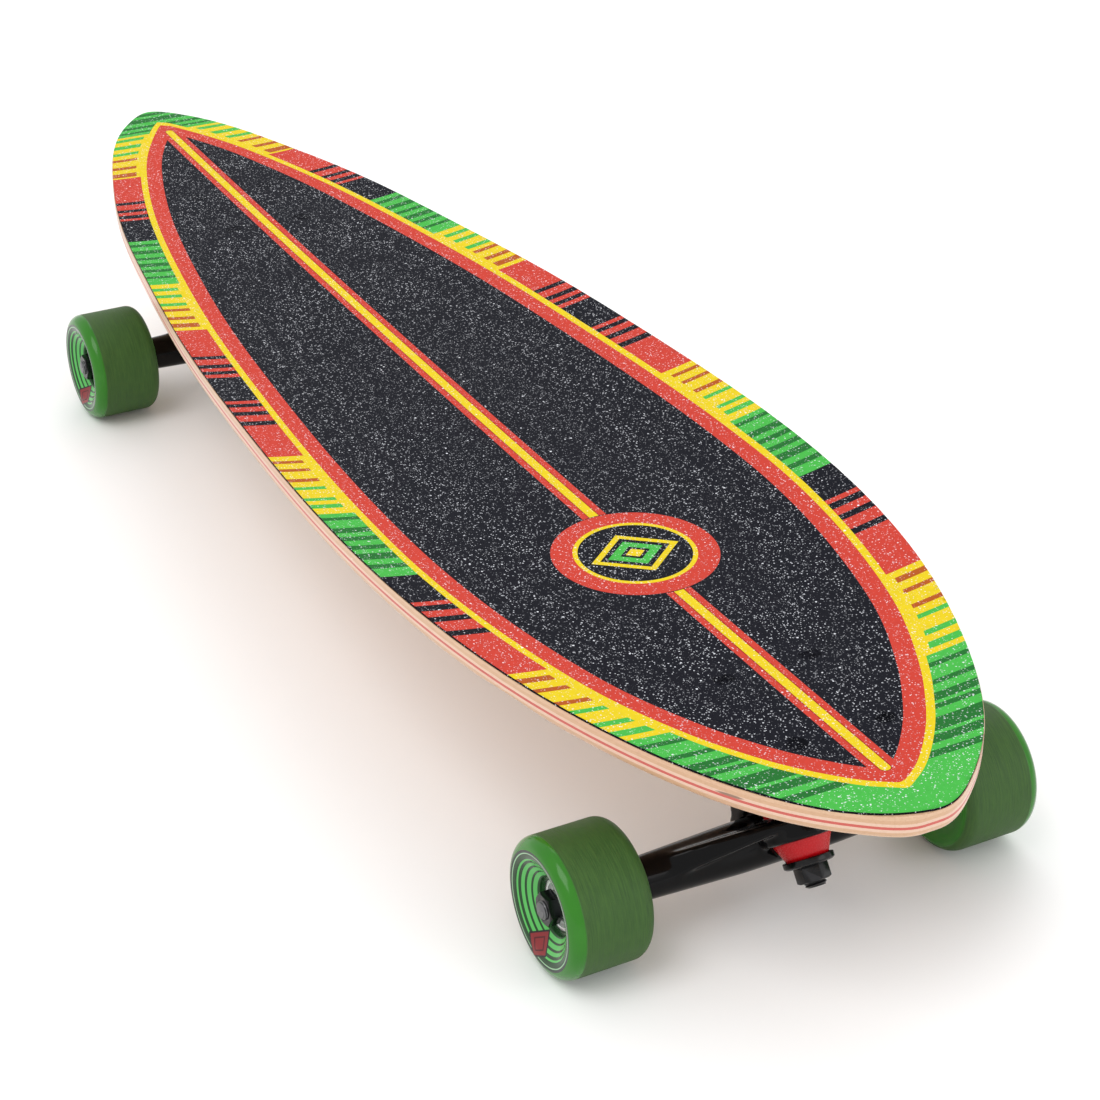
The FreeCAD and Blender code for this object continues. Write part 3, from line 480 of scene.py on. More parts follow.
def shield_steel():
    """Pressed bearing shield: satin grey with round brushing."""
    g = Graph("shield_steel")
    x, _, z = g.axes()
    radius = g.hypot(x, z)
    across = g.node("ShaderNodeCombineXYZ", X=radius)
    brushing = g.node("ShaderNodeTexNoise", Vector=across.outputs[0], Scale=5200.0, Detail=2.0).outputs[0]
    colour = g.blend(brushing, (0.30, 0.31, 0.31), (0.46, 0.47, 0.47))
    g.set(Base_Color=colour, Metallic=1.0, Roughness=g.span(brushing, 0.26, 0.42),
          Normal=g.bump(brushing, 0.02 * MM, 0.5))
    return g.material


def nylon():
    """Moulded bearing cage."""
    g = Graph("nylon")
    flow = g.noise(500, 3)
    colour = g.blend(flow, (0.50, 0.46, 0.37), (0.62, 0.58, 0.48))
    g.set(Base_Color=colour, Roughness=g.span(flow, 0.38, 0.55), Normal=g.bump(flow, 0.03 * MM, 0.3))
    return g.material


def urethane_wheel():
    """Cast wheel: ground tread, glossy lips, printed rings and a lozenge on the dished face."""
    g = Graph("urethane_wheel")
    x, y, z = g.axes()
    radius = g.times(g.hypot(x, z), 1 / MM)
    across = g.times(y, 1 / MM)
    half_ground = (GROUND_SPAN[1] - GROUND_SPAN[0]) / 2
    ground_middle = sum(GROUND_SPAN) / 2 - WHEEL_MIDDLE / MM
    wobble = g.times(g.minus(g.noise(60, 2), 0.5), 0.8)
    from_middle = g.plus(g.size(g.minus(across, ground_middle)), wobble)
    ground = g.times(g.below(from_middle, half_ground, 0.5), g.above(radius, GROUND_LEAST_RADIUS))

    grooves = g.above(g.noise(2300, 3, (0.03, 1.0, 0.03), 0.65), 0.5, 0.17)
    mottle = g.noise(900, 4, (0.25, 1.0, 0.25))
    pattern = g.span(g.times(g.plus(grooves, mottle), 0.5), 0.0, 1.0)
    tread = g.blend(pattern, (0.016, 0.056, 0.008), (0.050, 0.122, 0.022))
    lip = g.blend(g.noise(60, 2), (0.014, 0.135, 0.004), (0.028, 0.190, 0.008))
    colour = g.blend(ground, lip, tread)

    on_face = g.times(g.above(across, FACE_FROM_MIDDLE), g.below(radius, FACE_RADIUS))
    face = g.blend(g.above(radius, HUB_RADIUS), (0.010, 0.060, 0.012), (0.008, 0.045, 0.010))
    for low, high in FACE_RINGS:
        face = g.blend(g.between(radius, low, high, 0.06), face, (0.085, 0.430, 0.090))
    face = g.blend(g.between(radius, *THIN_RING, 0.05), face, (0.30, 0.50, 0.30))
    face = g.blend(g.above(radius, DARK_RIM_START), face, (0.018, 0.022, 0.020))

    cos_turn, sin_turn = (turned(math.radians(LOZENGE_TURN_DEG)) / MM for turned in (math.cos, math.sin))
    out = g.plus(g.times(x, cos_turn), g.times(z, sin_turn))
    aside = g.plus(g.times(x, -sin_turn), g.times(z, cos_turn))
    lozenge = g.plus(g.times(g.size(g.minus(out, LOZENGE_RADIUS)), 1 / LOZENGE_HALF[0]),
                     g.times(g.size(aside), 1 / LOZENGE_HALF[1]))
    face = g.blend(g.below(lozenge, 1.0, 0.03), face, (0.012, 0.010, 0.010))
    face = g.blend(g.below(lozenge, 0.86, 0.03), face, (0.210, 0.018, 0.020))
    face = g.blend(g.between(lozenge, 0.42, 0.54, 0.03), face, (0.075, 0.006, 0.008))
    colour = g.blend(on_face, colour, face)

    rough = g.plus(0.16, g.times(ground, g.span(grooves, 0.34, 0.50)))
    grain = g.bump(g.times(ground, grooves), 0.05 * MM, 0.7)
    g.set(Base_Color=colour, Roughness=rough, Specular_IOR_Level=0.32, Normal=grain)
    return g.material


def bushing_red():
    """Satin cast urethane bushing."""
    g = Graph("bushing_red")
    flow = g.noise(120, 3)
    fine = g.noise(1500, 2)
    colour = g.blend(flow, (0.42, 0.001, 0.005), (0.54, 0.004, 0.008))
    g.set(Base_Color=colour, Roughness=g.span(fine, 0.20, 0.34), Specular_IOR_Level=0.3,
          Normal=g.bump(fine, 0.02 * MM, 0.4))
    return g.material


def cup_rubber():
    """Dark pivot cup."""
    g = Graph("cup_rubber")
    fine = g.noise(1200, 3)
    colour = g.blend(fine, (0.010, 0.010, 0.011), (0.030, 0.030, 0.032))
    g.set(Base_Color=colour, Roughness=g.span(fine, 0.45, 0.65), Normal=g.bump(fine, 0.03 * MM, 0.5))
    return g.material


def pale_floor():
    g = Graph("pale_floor")
    cloud = g.noise(3, 2)
    colour = g.blend(cloud, (0.90, 0.90, 0.90), (0.94, 0.94, 0.94))
    g.set(Base_Color=colour, Roughness=g.span(cloud, 0.55, 0.65))
    return g.material


# ---------------- mesh helpers
def finished_object(name, bm, crease_deg=32.0):
    """Mesh object from a bmesh, shaded smooth up to a crease angle."""
    bmesh.ops.recalc_face_normals(bm, faces=bm.faces)
    mesh = bpy.data.meshes.new(name)
    bm.to_mesh(mesh)
    bm.free()
    mesh.shade_smooth()
    mesh.set_sharp_from_angle(angle=math.radians(crease_deg))
    made = bpy.data.objects.new(name, mesh)
    bpy.context.scene.collection.objects.link(made)
    return made


def paint(piece, material):
    piece.data.materials.clear()
    piece.data.materials.append(material)


def dress(piece, material, body, node):
    """Give a new piece its material and body, and hide the CAD node it stands for."""
    paint(piece, material)
    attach(piece, body)
    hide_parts(node)


def spun(arm, turn):
    """Flat vector turned about the origin."""
    cos_turn, sin_turn = math.cos(turn), math.sin(turn)
    return Vector((arm.x * cos_turn - arm.y * sin_turn, arm.x * sin_turn + arm.y * cos_turn))


def rounded(corners, steps):
    """Closed outline with its corners rounded: each corner is (along, out, rounding radius)."""
    points = []
    count = len(corners)
    for index, (along, out, radius) in enumerate(corners):
        here = Vector((along, out))
        if radius <= 0:
            points.append(here)
            continue
        before = (Vector(corners[index - 1][:2]) - here).normalized()
        after = (Vector(corners[(index + 1) % count][:2]) - here).normalized()
        half = before.angle(after) / 2
        centre = here + (before + after).normalized() * (radius / math.sin(half))
        start = here + before * (radius / math.tan(half)) - centre
        end = here + after * (radius / math.tan(half)) - centre
        sweep = start.angle_signed(end)
        points += [centre + spun(start, -sweep * step / steps) for step in range(steps + 1)]
    return points


def lathe(bm, outline, along=Vector((0, 1, 0)), start=Vector((0, 0, 0)), steps=LATHE_STEPS, thread=None):
    """Closed (distance along, radius) outline turned about an axis; thread adds a helical groove to it."""
    across = along.orthogonal().normalized()
    third = along.cross(across)
    rings = []
    for step in range(steps):
        turn = 2 * math.pi * step / steps
        spoke = across * math.cos(turn) + third * math.sin(turn)
        ring = []
        for distance, radius in outline:
            if thread is not None:
                radius -= thread(distance, turn, radius)
            ring.append(bm.verts.new(start + along * distance + spoke * radius))
        rings.append(ring)
    count = len(outline)
    for step, ring in enumerate(rings):
        following = rings[(step + 1) % steps]
        for index in range(count):
            after = (index + 1) % count
            bm.faces.new((ring[index], ring[after], following[after], following[index]))
    bmesh.ops.remove_doubles(bm, verts=bm.verts, dist=LATHE_WELD)
    return bm


def softened(name, node, width, segments=2):
    """Copy of a CAD node with every sharp edge rounded."""
    flat, sharp = math.radians(0.4), math.radians(28.0)
    bm = bmesh.new()
    bm.from_mesh(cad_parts[node].data)
    bmesh.ops.remove_doubles(bm, verts=bm.verts, dist=WELD)
    bmesh.ops.dissolve_limit(bm, angle_limit=flat, verts=bm.verts, edges=bm.edges)
    corners = [edge for edge in bm.edges if edge.is_manifold and edge.calc_face_angle() > sharp]
    bmesh.ops.bevel(bm, geom=corners, offset=width, segments=segments, profile=0.5, affect="EDGES",
                    clamp_overlap=True)
    return finished_object(name, bm)


# ---------------- deck
def deck_height(x, y, depth):
    """Height of the deck's bent surface at a place, depth below its top; works on arrays."""
    radius = CONCAVE_RADIUS + depth
    past_flat = np.maximum(np.abs(y) - FLAT_HALF_WIDTH, 0.0)
    profile = DECK_TOP_Z + CONCAVE_RADIUS - np.sqrt(radius ** 2 - past_flat ** 2)
    rocker = ROCKER_RADIUS + DECK_TOP_Z - profile
    return DECK_TOP_Z + ROCKER_RADIUS - np.sqrt(rocker ** 2 - (x - TRUCK_MID_X) ** 2)


def well_height(x, y):
    """Height of the shallow drums that hollow the underside above the wheels."""
    height = np.full(np.broadcast(x, y).shape, NO_WELL)
    for end in (1, -1):
        centre = TRUCK_MID_X + end * WELL_OFFSET_X
        inner = deck_height(centre, WELL_INNER_Y, DECK_THICKNESS)
        outer = deck_height(centre, WELL_OUTER_Y, DECK_THICKNESS) + WELL_DEPTH
        crest = inner + (outer - inner) * (np.abs(y) - WELL_INNER_Y) / (WELL_OUTER_Y - WELL_INNER_Y)
        off = np.minimum(np.abs(x - centre), WELL_RADIUS)
        height = np.maximum(height, crest - WELL_RADIUS + np.sqrt(WELL_RADIUS ** 2 - off ** 2))
    return np.where(np.abs(y) > WELL_INNER_Y / 2, height, NO_WELL)


def half_outline(node):
    """Evenly spaced points of a CAD layer's outline on the left side, nose to tail."""
    off_middle, least_gap = 1.0 * MM, 0.5 * MM
    flat = [(vertex.co.x, vertex.co.y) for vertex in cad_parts[node].data.vertices]
    hull = [flat[index] for index in convex_hull_2d(flat)]
    low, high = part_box(node)
    left = sorted((point for point in hull if point[1] > off_middle), reverse=True)
    points = np.array([(high.x, 0.0), *left, (low.x, 0.0)])
    keep = [0]
    for index in range(1, len(points)):
        if np.linalg.norm(points[index] - points[keep[-1]]) > least_gap:
            keep.append(index)
    points = points[keep]
    return resampled(points, OUTLINE_STEPS, mirrored_ends=True)


def resampled(points, steps, mirrored_ends=False):
    """Smooth curve through points (a spline through each in turn), cut into even steps."""
    if mirrored_ends:
        first, last = points[1] * (1, -1), points[-2] * (1, -1)
    else:
        first, last = 2 * points[0] - points[1], 2 * points[-1] - points[-2]
    padded = np.vstack([first, points, last])
    dense = []
    for a, b, c, d in zip(padded, padded[1:], padded[2:], padded[3:]):
        spans = [np.sqrt(np.linalg.norm(q - p)) for p, q in ((a, b), (b, c), (c, d))]
        into = (c - b) + spans[1] * ((b - a) / spans[0] - (c - a) / (spans[0] + spans[1]))
        out = (c - b) + spans[1] * ((d - c) / spans[2] - (d - b) / (spans[1] + spans[2]))
        for t in np.linspace(0, 1, CONTOUR_STEPS, endpoint=False):
            dense.append((2 * t**3 - 3 * t**2 + 1) * b + (t**3 - 2 * t**2 + t) * into
                         + (3 * t**2 - 2 * t**3) * c + (t**3 - t**2) * out)
    dense = np.array([*dense, padded[-2]])
    length = np.concatenate([[0], np.cumsum(np.linalg.norm(np.diff(dense, axis=0), axis=1))])
    even = np.linspace(0, length[-1], steps + 1)
    return np.column_stack([np.interp(even, length, dense[:, k]) for k in (0, 1)])


def edge_inset(depth):
    """How far the rounded bottom edge stands in from the outline at a depth."""
    past = max(depth - (DECK_THICKNESS - ROUND_DEPTH), 0.0) / ROUND_DEPTH
    return ROUND_REACH * (1 - math.sqrt(max(1 - past ** 2, 0.0)))


def inset_outline(outline, inset):
    """Outline moved inwards."""
    along = np.gradient(outline, axis=0)
    along /= np.linalg.norm(along, axis=1)[:, None]
    inward = np.column_stack([along[:, 1], -along[:, 0]])
    inward[0] = (-1, 0)
    inward[-1] = (1, 0)
    toward_middle = np.sign(np.sum(inward * (np.array([TRUCK_MID_X, 0]) - outline), axis=1))[:, None]
    moved = outline + inward * toward_middle * inset
    moved[[0, -1], 1] = 0
    return moved


def ply_shell(name, outline, top, bottom):
    """Closed shell of one veneer, its edge following the deck's rounded rim."""
    rim_steps = PLAIN_RIM_STEPS if bottom < DECK_THICKNESS - ROUND_DEPTH else ROUND_RIM_STEPS
    bm = bmesh.new()

    def row(depth):
        rim = inset_outline(outline, edge_inset(depth))
        x = rim[:, :1]
        y = rim[:, 1:] * np.linspace(-1, 1, ACROSS_STEPS + 1)[None, :]
        z = np.maximum(deck_height(x, y, depth), well_height(x, y))
        places = np.stack([np.broadcast_to(x, y.shape), y, z], axis=2).tolist()
        return [[bm.verts.new(place) for place in line] for line in places]

    def cap(grid):
        for first, second in zip(grid, grid[1:]):
            for j in range(ACROSS_STEPS):
                bm.faces.new((first[j], first[j + 1], second[j + 1], second[j]))

    def rim_wall(upper, lower):
        for side in (0, -1):
            for i in range(len(upper) - 1):
                bm.faces.new((upper[i][side], upper[i + 1][side], lower[i + 1][side], lower[i][side]))

    levels = np.linspace(top, bottom, rim_steps + 1)
    grids = [row(level) for level in levels]
    cap(grids[0])
    cap(grids[-1])
    for upper, lower in zip(grids, grids[1:]):
        rim_wall(upper, lower)
    spare = [vertex for grid in grids[1:-1] for line in grid for vertex in line[1:-1]]
    bmesh.ops.delete(bm, geom=spare, context="VERTS")
    bmesh.ops.remove_doubles(bm, verts=bm.verts, dist=4 * WELD)
    bmesh.ops.dissolve_degenerate(bm, edges=bm.edges, dist=2 * WELD)
    return finished_object(name, bm, crease_deg=50.0)


def print_inset(x, y):
    """Signed distance inside the print's contour, in millimetres."""
    contour = resampled(np.array(CONTOUR), CONTOUR_CUTS)
    at = np.column_stack([(x - TRUCK_MID_X) / MM, np.abs(y) / MM])
    a, b = contour[:-1], contour[1:]
    span = b - a
    t = np.clip(np.sum((at[:, None] - a) * span, axis=2) / np.sum(span ** 2, axis=1), 0, 1)
    distance = np.linalg.norm(at[:, None] - a - t[..., None] * span, axis=2).min(axis=1)
    half = np.interp(at[:, 0], contour[::-1, 0], contour[::-1, 1], left=-1.0, right=-1.0)
    return np.where(at[:, 1] < half, distance, -distance)


def grip_sheet():
    """Printed sheet: the CAD layer cut into cells along the print's lines, with its inks as attributes."""
    bm = bmesh.new()
    bm.from_mesh(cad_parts["grip_sheet"].data)
    bmesh.ops.remove_doubles(bm, verts=bm.verts, dist=WELD)
    low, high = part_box("grip_sheet")
    line_edges = {edge for line in LINES for edge in line[:2]} | {start for start, _ in BLOCKS[1:]}
    cuts_x = sorted(TRUCK_MID_X + edge * MM for edge in line_edges)
    cuts_x += list(np.arange(low.x + PRINT_CELL, high.x, PRINT_CELL))
    cuts_y = np.arange(low.y + PRINT_CELL, high.y, PRINT_CELL)
    for axis, cuts in ((Vector((1, 0, 0)), cuts_x), (Vector((0, 1, 0)), cuts_y)):
        for cut in cuts:
            bmesh.ops.bisect_plane(bm, geom=[*bm.verts, *bm.edges, *bm.faces], dist=WELD,
                                   plane_co=axis * cut, plane_no=axis)
    made = finished_object("printed_grip_sheet", bm, crease_deg=50.0)

    mesh = made.data
    place = np.zeros(len(mesh.vertices) * 3)
    mesh.vertices.foreach_get("co", place)
    place = place.reshape(-1, 3)
    x, y = place[:, 0], place[:, 1]
    top = deck_height(x, y, 0.0)
    bottom = deck_height(x, y, GRIP_THICKNESS)
    place[:, 2] = np.where(place[:, 2] - bottom > top - place[:, 2], top, bottom)
    mesh.vertices.foreach_set("co", place.reshape(-1))
    inset = mesh.attributes.new("inset", "FLOAT", "POINT")
    inset.data.foreach_set("value", print_inset(x, y).astype(np.float32))

    starts = [start for start, _ in BLOCKS]
    block_inks, line_inks, gaps = [], [], []
    for polygon in mesh.polygons:
        ahead = (polygon.center.x - TRUCK_MID_X) / MM
        block = BLOCKS[int(np.searchsorted(starts, ahead)) - 1][1]
        line = next((ink for start, end, ink in LINES if start < ahead < end), block)
        if abs(polygon.normal.z) < 0.5:  # the sheet's cut edge
            block = line = "black"
        block_inks.append((*INKS[block], 1.0))
        line_inks.append((*INKS[line], 1.0))
        gaps.append(LINE_GAP.get(line, 0.0) if block == "yellow" else 0.0)
    for name, values in (("block", block_inks), ("line", line_inks)):
        layer = mesh.attributes.new(name, "FLOAT_COLOR", "FACE")
        layer.data.foreach_set("color", np.array(values, np.float32).reshape(-1))
    layer = mesh.attributes.new("line_gap", "FLOAT", "FACE")
    layer.data.foreach_set("value", np.array(gaps, np.float32))
    return made


# ---------------- wheel pieces, about a wheel's own middle
def arc_between(start, middle, end, steps):
    """Points of the circle through three points, first to last."""
    (ax, ay), (bx, by), (cx, cy) = start, middle, end
    twice_area = 2 * (ax * (by - cy) + bx * (cy - ay) + cx * (ay - by))
    a, b, c = (px * px + py * py for px, py in (start, middle, end))
    centre = Vector(((a * (by - cy) + b * (cy - ay) + c * (ay - by)) / twice_area,
                     (a * (cx - bx) + b * (ax - cx) + c * (bx - ax)) / twice_area))
    from_start = Vector(start) - centre
    sweep = -from_start.angle_signed(Vector(end) - centre)
    return [centre + spun(from_start, sweep * step / steps) for step in range(steps + 1)]


def wheel_mesh(name):
    """Urethane wheel with rounded lips, a ground tread and a dished face."""
    end = BEARING_STARTS[1] + BEARING_WIDTH
    core = BEARING_STARTS[0] + BEARING_WIDTH
    mouth, mouth_radius, play = SEAT_MOUTH
    recess, recess_radius = BACK_RECESS
    tread = np.linspace(*TREAD_SPAN, TREAD_STEPS + 1)[1:-1]
    outline = [
        *arc_between(*INNER_LIP, steps=14),
        *[(along, WHEEL_RADIUS) for along in tread],
        *arc_between(*OUTER_LIP, steps=16),
        (WHEEL_OUTER, FLAT_RIM_RADIUS),
        *arc_between(*DISH_EDGE, steps=8),
        *np.linspace(DISH_EDGE[-1], DISH_FOOT[0], DISH_STEPS + 1)[1:-1],
        *arc_between(*DISH_FOOT, steps=4),
        (end + mouth, mouth_radius),
        (end + mouth, BEARING_RADIUS + play),
        (end, BEARING_RADIUS),
        (BEARING_STARTS[1], BEARING_RADIUS),
        (BEARING_STARTS[1], CORE_BORE_RADIUS),
        (core, CORE_BORE_RADIUS),
        (core, BEARING_RADIUS),
        (BEARING_STARTS[0] - recess, BEARING_RADIUS),
        (BEARING_STARTS[0] - recess, recess_radius),
        *[(WHEEL_INNER, radius) for radius in BACK_FACE_RADII],
    ]
    bm = lathe(bmesh.new(), [(along - WHEEL_MIDDLE, radius) for along, radius in outline])
    return finished_object(name, bm, crease_deg=35.0)


def shield_mesh(name):
    """The four pressed shields of one wheel, each with a rolled rim and a raised band."""
    bm = bmesh.new()
    for start in BEARING_STARTS:
        for face, outward in ((start + SHIELD_RECESS, -1), (start + BEARING_WIDTH - SHIELD_RECESS, 1)):
            near = [(face - WHEEL_MIDDLE - outward * sink, radius) for radius, sink in SHIELD_PROFILE]
            far = [(along - outward * SHIELD_THICKNESS, radius) for along, radius in reversed(near)]
            lathe(bm, near + far, steps=RING_STEPS)
    return finished_object(name, bm)


def race_mesh(name, inner, outer, sides=(1,), middle=WHEEL_MIDDLE):
    """Bearing rings with ground chamfers, on one or both sides; middle is where the piece's origin lies."""
    bm = bmesh.new()
    for side in sides:
        for start in BEARING_STARTS:
            end = start + BEARING_WIDTH
            corners = [(along, radius, RACE_CHAMFER)
                       for along, radius in ((start, inner), (end, inner), (end, outer), (start, outer))]
            outline = [(side * (along - middle), radius) for along, radius in rounded(corners, steps=3)]
            lathe(bm, outline, steps=RING_STEPS)
    return finished_object(name, bm)


# ---------------- truck pieces
def node_axis(node):
    """Middle of a CAD node's box."""
    low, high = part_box(node)
    return (low + high) / 2


def kingpin_line(end):
    """A point on the kingpin's axis and its direction towards the nut."""
    bushing, nut = node_axis(f"{end}_board_bushing"), node_axis(f"{end}_kingpin_nut")
    return bushing, (nut - bushing).normalized()


def is_machined(place, point, direction):
    """True near the kingpin line and at the tube ends, where a casting is cut true."""
    arm = place - point
    from_line = (arm - direction * arm.dot(direction)).length
    return from_line < SEAT_KEEP_RADIUS or abs(place.y) > TUBE_END_KEEP


def cast(name, end, node, rounds):
    """Copy of a CAD node remeshed and smoothed like a casting, crisp where it is machined."""
    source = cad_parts[node]
    made = bpy.data.objects.new(name, source.data.copy())
    bpy.context.scene.collection.objects.link(made)
    remesh = made.modifiers.new("remesh", "REMESH")
    remesh.mode = "VOXEL"
    remesh.voxel_size = CAST_VOXEL
    depsgraph = bpy.context.evaluated_depsgraph_get()
    mesh = bpy.data.meshes.new_from_object(made.evaluated_get(depsgraph))
    made.modifiers.clear()
    made.data = mesh
    bm = bmesh.new()
    bm.from_mesh(mesh)
    point, direction = kingpin_line(end)
    as_cast = [vertex for vertex in bm.verts if not is_machined(vertex.co, point, direction)]
    for verts, times in ((bm.verts, MACHINED_ROUNDS), (as_cast, rounds)):
        for _ in range(times):
            bmesh.ops.smooth_vert(bm, verts=verts, factor=0.5,
                                  use_axis_x=True, use_axis_y=True, use_axis_z=True)
    bm.to_mesh(mesh)
    bm.free()
    mesh.shade_smooth()
    return made


def thread_groove(pitch, depth, start, end):
    """Depth of a helical groove, as a function of distance, turn and radius."""
    def groove(distance, turn, radius):
        if not start <= distance <= end or radius < depth * 2:
            return 0.0
        phase = (distance / pitch - turn / (2 * math.pi)) % 1.0
        return depth * abs(2 * phase - 1)
    return groove


def axle_mesh(name, centre):
    """Axle with threaded, chamfered ends."""
    thread_start = AXLE_HALF - AXLE_THREAD
    fine = np.linspace(thread_start, AXLE_HALF, AXLE_THREAD_STATIONS)
    whole = np.linspace(-AXLE_HALF, AXLE_HALF, AXLE_STATIONS)
    stations = np.unique(np.concatenate([-fine, whole, fine]).round(6))
    turned = [(at, AXLE_RADIUS - max(0.0, abs(at) - (AXLE_HALF - AXLE_CHAMFER))) for at in stations]
    outline = [(-AXLE_HALF, TIP_RADIUS), *turned, (AXLE_HALF, TIP_RADIUS)]
    near = thread_groove(*AXLE_GROOVE, -AXLE_HALF, -thread_start)
    far = thread_groove(*AXLE_GROOVE, thread_start, AXLE_HALF)
    bm = lathe(bmesh.new(), outline, start=centre, steps=SHAFT_STEPS,
               thread=lambda *place: near(*place) + far(*place))
    return finished_object(name, bm, crease_deg=60.0)


def along_kingpin(end, node):
    """The kingpin's point and direction, and how far a CAD node reaches along it from the point."""
    point, along = kingpin_line(end)
    reach = [(vertex.co - point).dot(along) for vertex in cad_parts[node].data.vertices]
    return point, along, min(reach), max(reach)


def kingpin_mesh(name, end):
    """Kingpin with a threaded tip and a chamfered head."""
    point, along, low, high = along_kingpin(end, f"{end}_kingpin")
    thread_start = high - KINGPIN_THREAD
    threaded = [(at, KINGPIN_RADIUS - max(0.0, at - (high - KINGPIN_CHAMFER)))
                for at in np.linspace(thread_start, high, KINGPIN_THREAD_STATIONS)]
    outline = [(low, TIP_RADIUS), (low, HEAD_RADIUS - HEAD_CHAMFER), (low + HEAD_CHAMFER, HEAD_RADIUS),
               (low + HEAD_HEIGHT, HEAD_RADIUS), (low + HEAD_HEIGHT, KINGPIN_RADIUS), *threaded,
               (high, TIP_RADIUS)]
    bm = lathe(bmesh.new(), outline, along, point, SHAFT_STEPS,
               thread_groove(*KINGPIN_GROOVE, thread_start, high))
    return finished_object(name, bm, crease_deg=60.0)


def bushing_mesh(name, end, node, profile):
    """Turned bushing on the kingpin, and the middles of its two ends."""
    point, along, low, high = along_kingpin(end, node)
    outside = [(low + (high - low) * share, radius, rounding) for share, radius, rounding in profile]
    corners = [(low, BUSHING_BORE, 0.0), *outside, (high, BUSHING_BORE, 0.0)]
    bm = lathe(bmesh.new(), rounded(corners, steps=6), along, point, RING_STEPS)
    return finished_object(name, bm, crease_deg=45.0), point + along * low, point + along * high


# ---------------- build
knot_x = TRUCK_MID_X + KNOT_AHEAD
knot_depth = GRIP_THICKNESS + sum(thickness for _, thickness, _ in PLIES[:2]) + PLIES[2][1] / 2
knot = Vector((knot_x, KNOT_SIDE, float(deck_height(knot_x, KNOT_SIDE, knot_depth))))
grip_material = printed_grip()
veneers = {
    "face": maple("maple_face", (0.730, 0.500, 0.325), (0.500, 0.280, 0.150), 220, 0.30),
    "core": maple("maple_core", (0.680, 0.430, 0.265), (0.460, 0.250, 0.130), 320, 0.10),
    "cross": maple("maple_cross", (0.780, 0.560, 0.430), (0.590, 0.370, 0.250), 480, 0.15, knot),
    "dyed": maple("maple_dyed", (0.600, 0.110, 0.080), (0.440, 0.055, 0.042), 320, 0.0),
}
black_cast = cast_black()
dark_steel = black_oxide()
axle_steel = turned_steel("axle_steel", (0.16, 0.16, 0.165), 0.24)
zinc = turned_steel("zinc", (0.60, 0.60, 0.59), 0.26)
ground_steel = turned_steel("ground_steel", (0.66, 0.66, 0.67), 0.14, 2600.0)
shield_material = shield_steel()
cage_material = nylon()
wheel_material = urethane_wheel()
bushing_material = bushing_red()
cup_material = cup_rubber()

dress(grip_sheet(), grip_material, "board", "grip_sheet")

outline = half_outline("ply_1_face")
depth = GRIP_THICKNESS
for node, thickness, kind in PLIES:
    shell = ply_shell(f"veneer_{node}", outline, depth, depth + thickness)
    dress(shell, veneers[kind], "board", node)
    depth += thickness

BOARD_PARTS = (  # CAD node, visual name, edge rounding and its segments, slot
    ("kingpin_nut", "lock_nut", 0.3 * MM, 2, "steel_black"),
    ("bushing_washers", "cupped_washers", 0.35 * MM, 3, "steel_black"),
    ("deck_bolts", "flat_head_bolts", 0.12 * MM, 2, "bolt"),
    ("deck_nuts", "hex_nuts", 0.25 * MM, 2, "bolt"),
)
AXLE_PARTS = (  # CAD node, visual name, edge rounding, material, slot
    ("axle_nuts", "axle_lock_nuts", 0.3 * MM, dark_steel, "steel_black"),
    ("speed_washers", "speed_washers_soft", 0.12 * MM, zinc, "washer_steel"),
    ("spacers", "spacers_soft", 0.2 * MM, zinc, "washer_steel"),
)

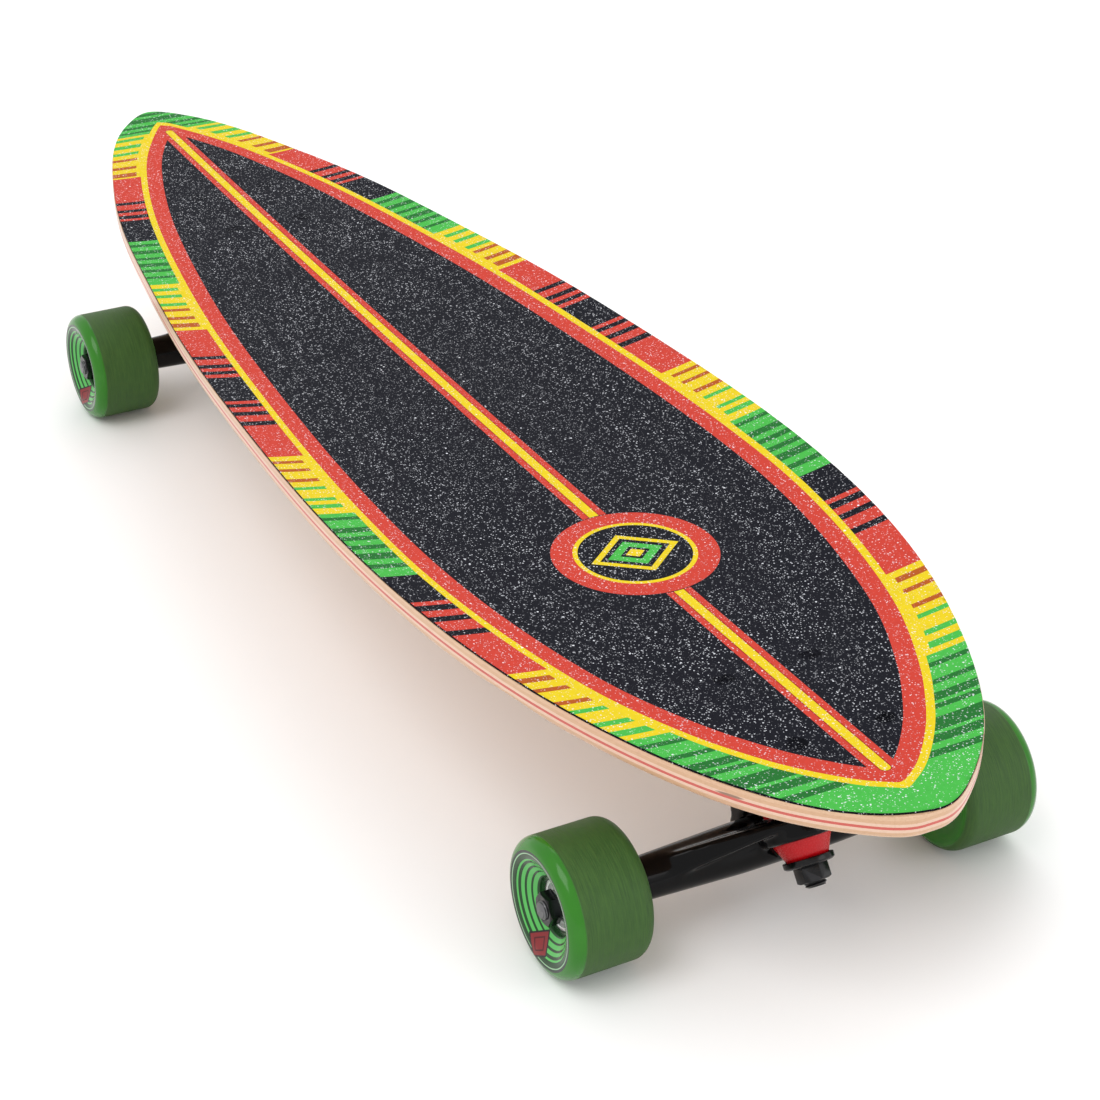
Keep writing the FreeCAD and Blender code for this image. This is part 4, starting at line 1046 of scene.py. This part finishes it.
for end in ("nose", "tail"):
    body = f"{end}_steering"
    axle_middle = node_axis(f"{end}_axle")

    hanger = cast(f"{end}_cast_hanger", end, f"{end}_hanger", HANGER_ROUNDS)
    dress(hanger, black_cast, body, f"{end}_hanger")
    baseplate = cast(f"{end}_cast_baseplate", end, f"{end}_baseplate", BASEPLATE_ROUNDS)
    dress(baseplate, black_cast, "board", f"{end}_baseplate")
    kingpin = kingpin_mesh(f"{end}_threaded_kingpin", end)
    dress(kingpin, dark_steel, "board", f"{end}_kingpin")
    for node, label, width, segments, slot_name in BOARD_PARTS:
        piece = softened(f"{end}_{label}", f"{end}_{node}", width, segments)
        dress(piece, dark_steel, "board", f"{end}_{node}")

    for kind, profile in BUSHING_PROFILES.items():
        node = f"{end}_{kind}_bushing"
        piece, near, far = bushing_mesh(f"{end}_{kind}_urethane", end, node, profile)
        dress(piece, bushing_material, "board", node)
        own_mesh(piece)
    paint(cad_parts[f"{end}_pivot_cup"], cup_material)

    axle = axle_mesh(f"{end}_threaded_axle", axle_middle)
    dress(axle, axle_steel, body, f"{end}_axle")
    for node, label, width, material, slot_name in AXLE_PARTS:
        piece = softened(f"{end}_{label}", f"{end}_{node}", width)
        dress(piece, material, body, f"{end}_{node}")
    rings = race_mesh(f"{end}_inner_rings", AXLE_RADIUS, INNER_RACE_RADIUS, sides=(1, -1), middle=0.0)
    rings.location = axle_middle
    dress(rings, ground_steel, body, f"{end}_inner_races")

    for side_name, side in (("left", 1), ("right", -1)):
        wheel = f"{end}_{side_name}"
        tyre = wheel_mesh(f"{wheel}_urethane_wheel")
        outer_rings = race_mesh(f"{wheel}_outer_rings", OUTER_RACE_RADIUS, BEARING_RADIUS)
        shields = shield_mesh(f"{wheel}_pressed_shields")
        pieces = (
            (tyre, wheel_material, "urethane", "tyre"),
            (outer_rings, ground_steel, "bearing_steel", "outer_races"),
            (shields, shield_material, "shield", "shields"),
        )
        for piece, material, slot_name, node in pieces:
            piece.location = axle_middle + Vector((0, side * WHEEL_MIDDLE, 0))
            piece.rotation_euler = Euler((0, 0, 0 if side > 0 else math.pi))
            dress(piece, material, f"{wheel}_wheel", f"{wheel}_{node}")
        paint(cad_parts[f"{wheel}_balls"], ground_steel)
        paint(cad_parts[f"{wheel}_cages"], cage_material)

# ---------------- stage, lights, camera
bpy.ops.mesh.primitive_plane_add(size=FLOOR_SIZE, location=(0, 0, 0))
floor = bpy.context.object
floor.name = "floor"
floor.data.materials.append(pale_floor())


def area_light(name, place, target, size, power):
    """Soft square light aimed at a point."""
    data = bpy.data.lights.new(name, "AREA")
    data.shape = "SQUARE"
    data.size = size
    data.energy = power
    made = bpy.data.objects.new(name, data)
    bpy.context.scene.collection.objects.link(made)
    made.location = place
    made.rotation_euler = (Vector(target) - Vector(place)).to_track_quat("-Z", "Y").to_euler()


for light in LIGHTS:
    area_light(*light)

world = bpy.data.worlds.new("studio")
bpy.context.scene.world = world
world.use_nodes = True
background = world.node_tree.nodes["Background"]
background.inputs["Color"].default_value = (1.0, 1.0, 1.0, 1.0)
background.inputs["Strength"].default_value = 1.0

camera_data = bpy.data.cameras.new("camera")
camera_data.lens = CAMERA_LENS
camera_data.sensor_width = SENSOR_WIDTH
camera = bpy.data.objects.new("camera", camera_data)
bpy.context.scene.collection.objects.link(camera)
camera.location = CAMERA_PLACE
camera.rotation_euler = Euler([math.radians(angle) for angle in CAMERA_TURN_DEG])
bpy.context.scene.camera = camera
bpy.context.scene.view_settings.view_transform = "Standard"
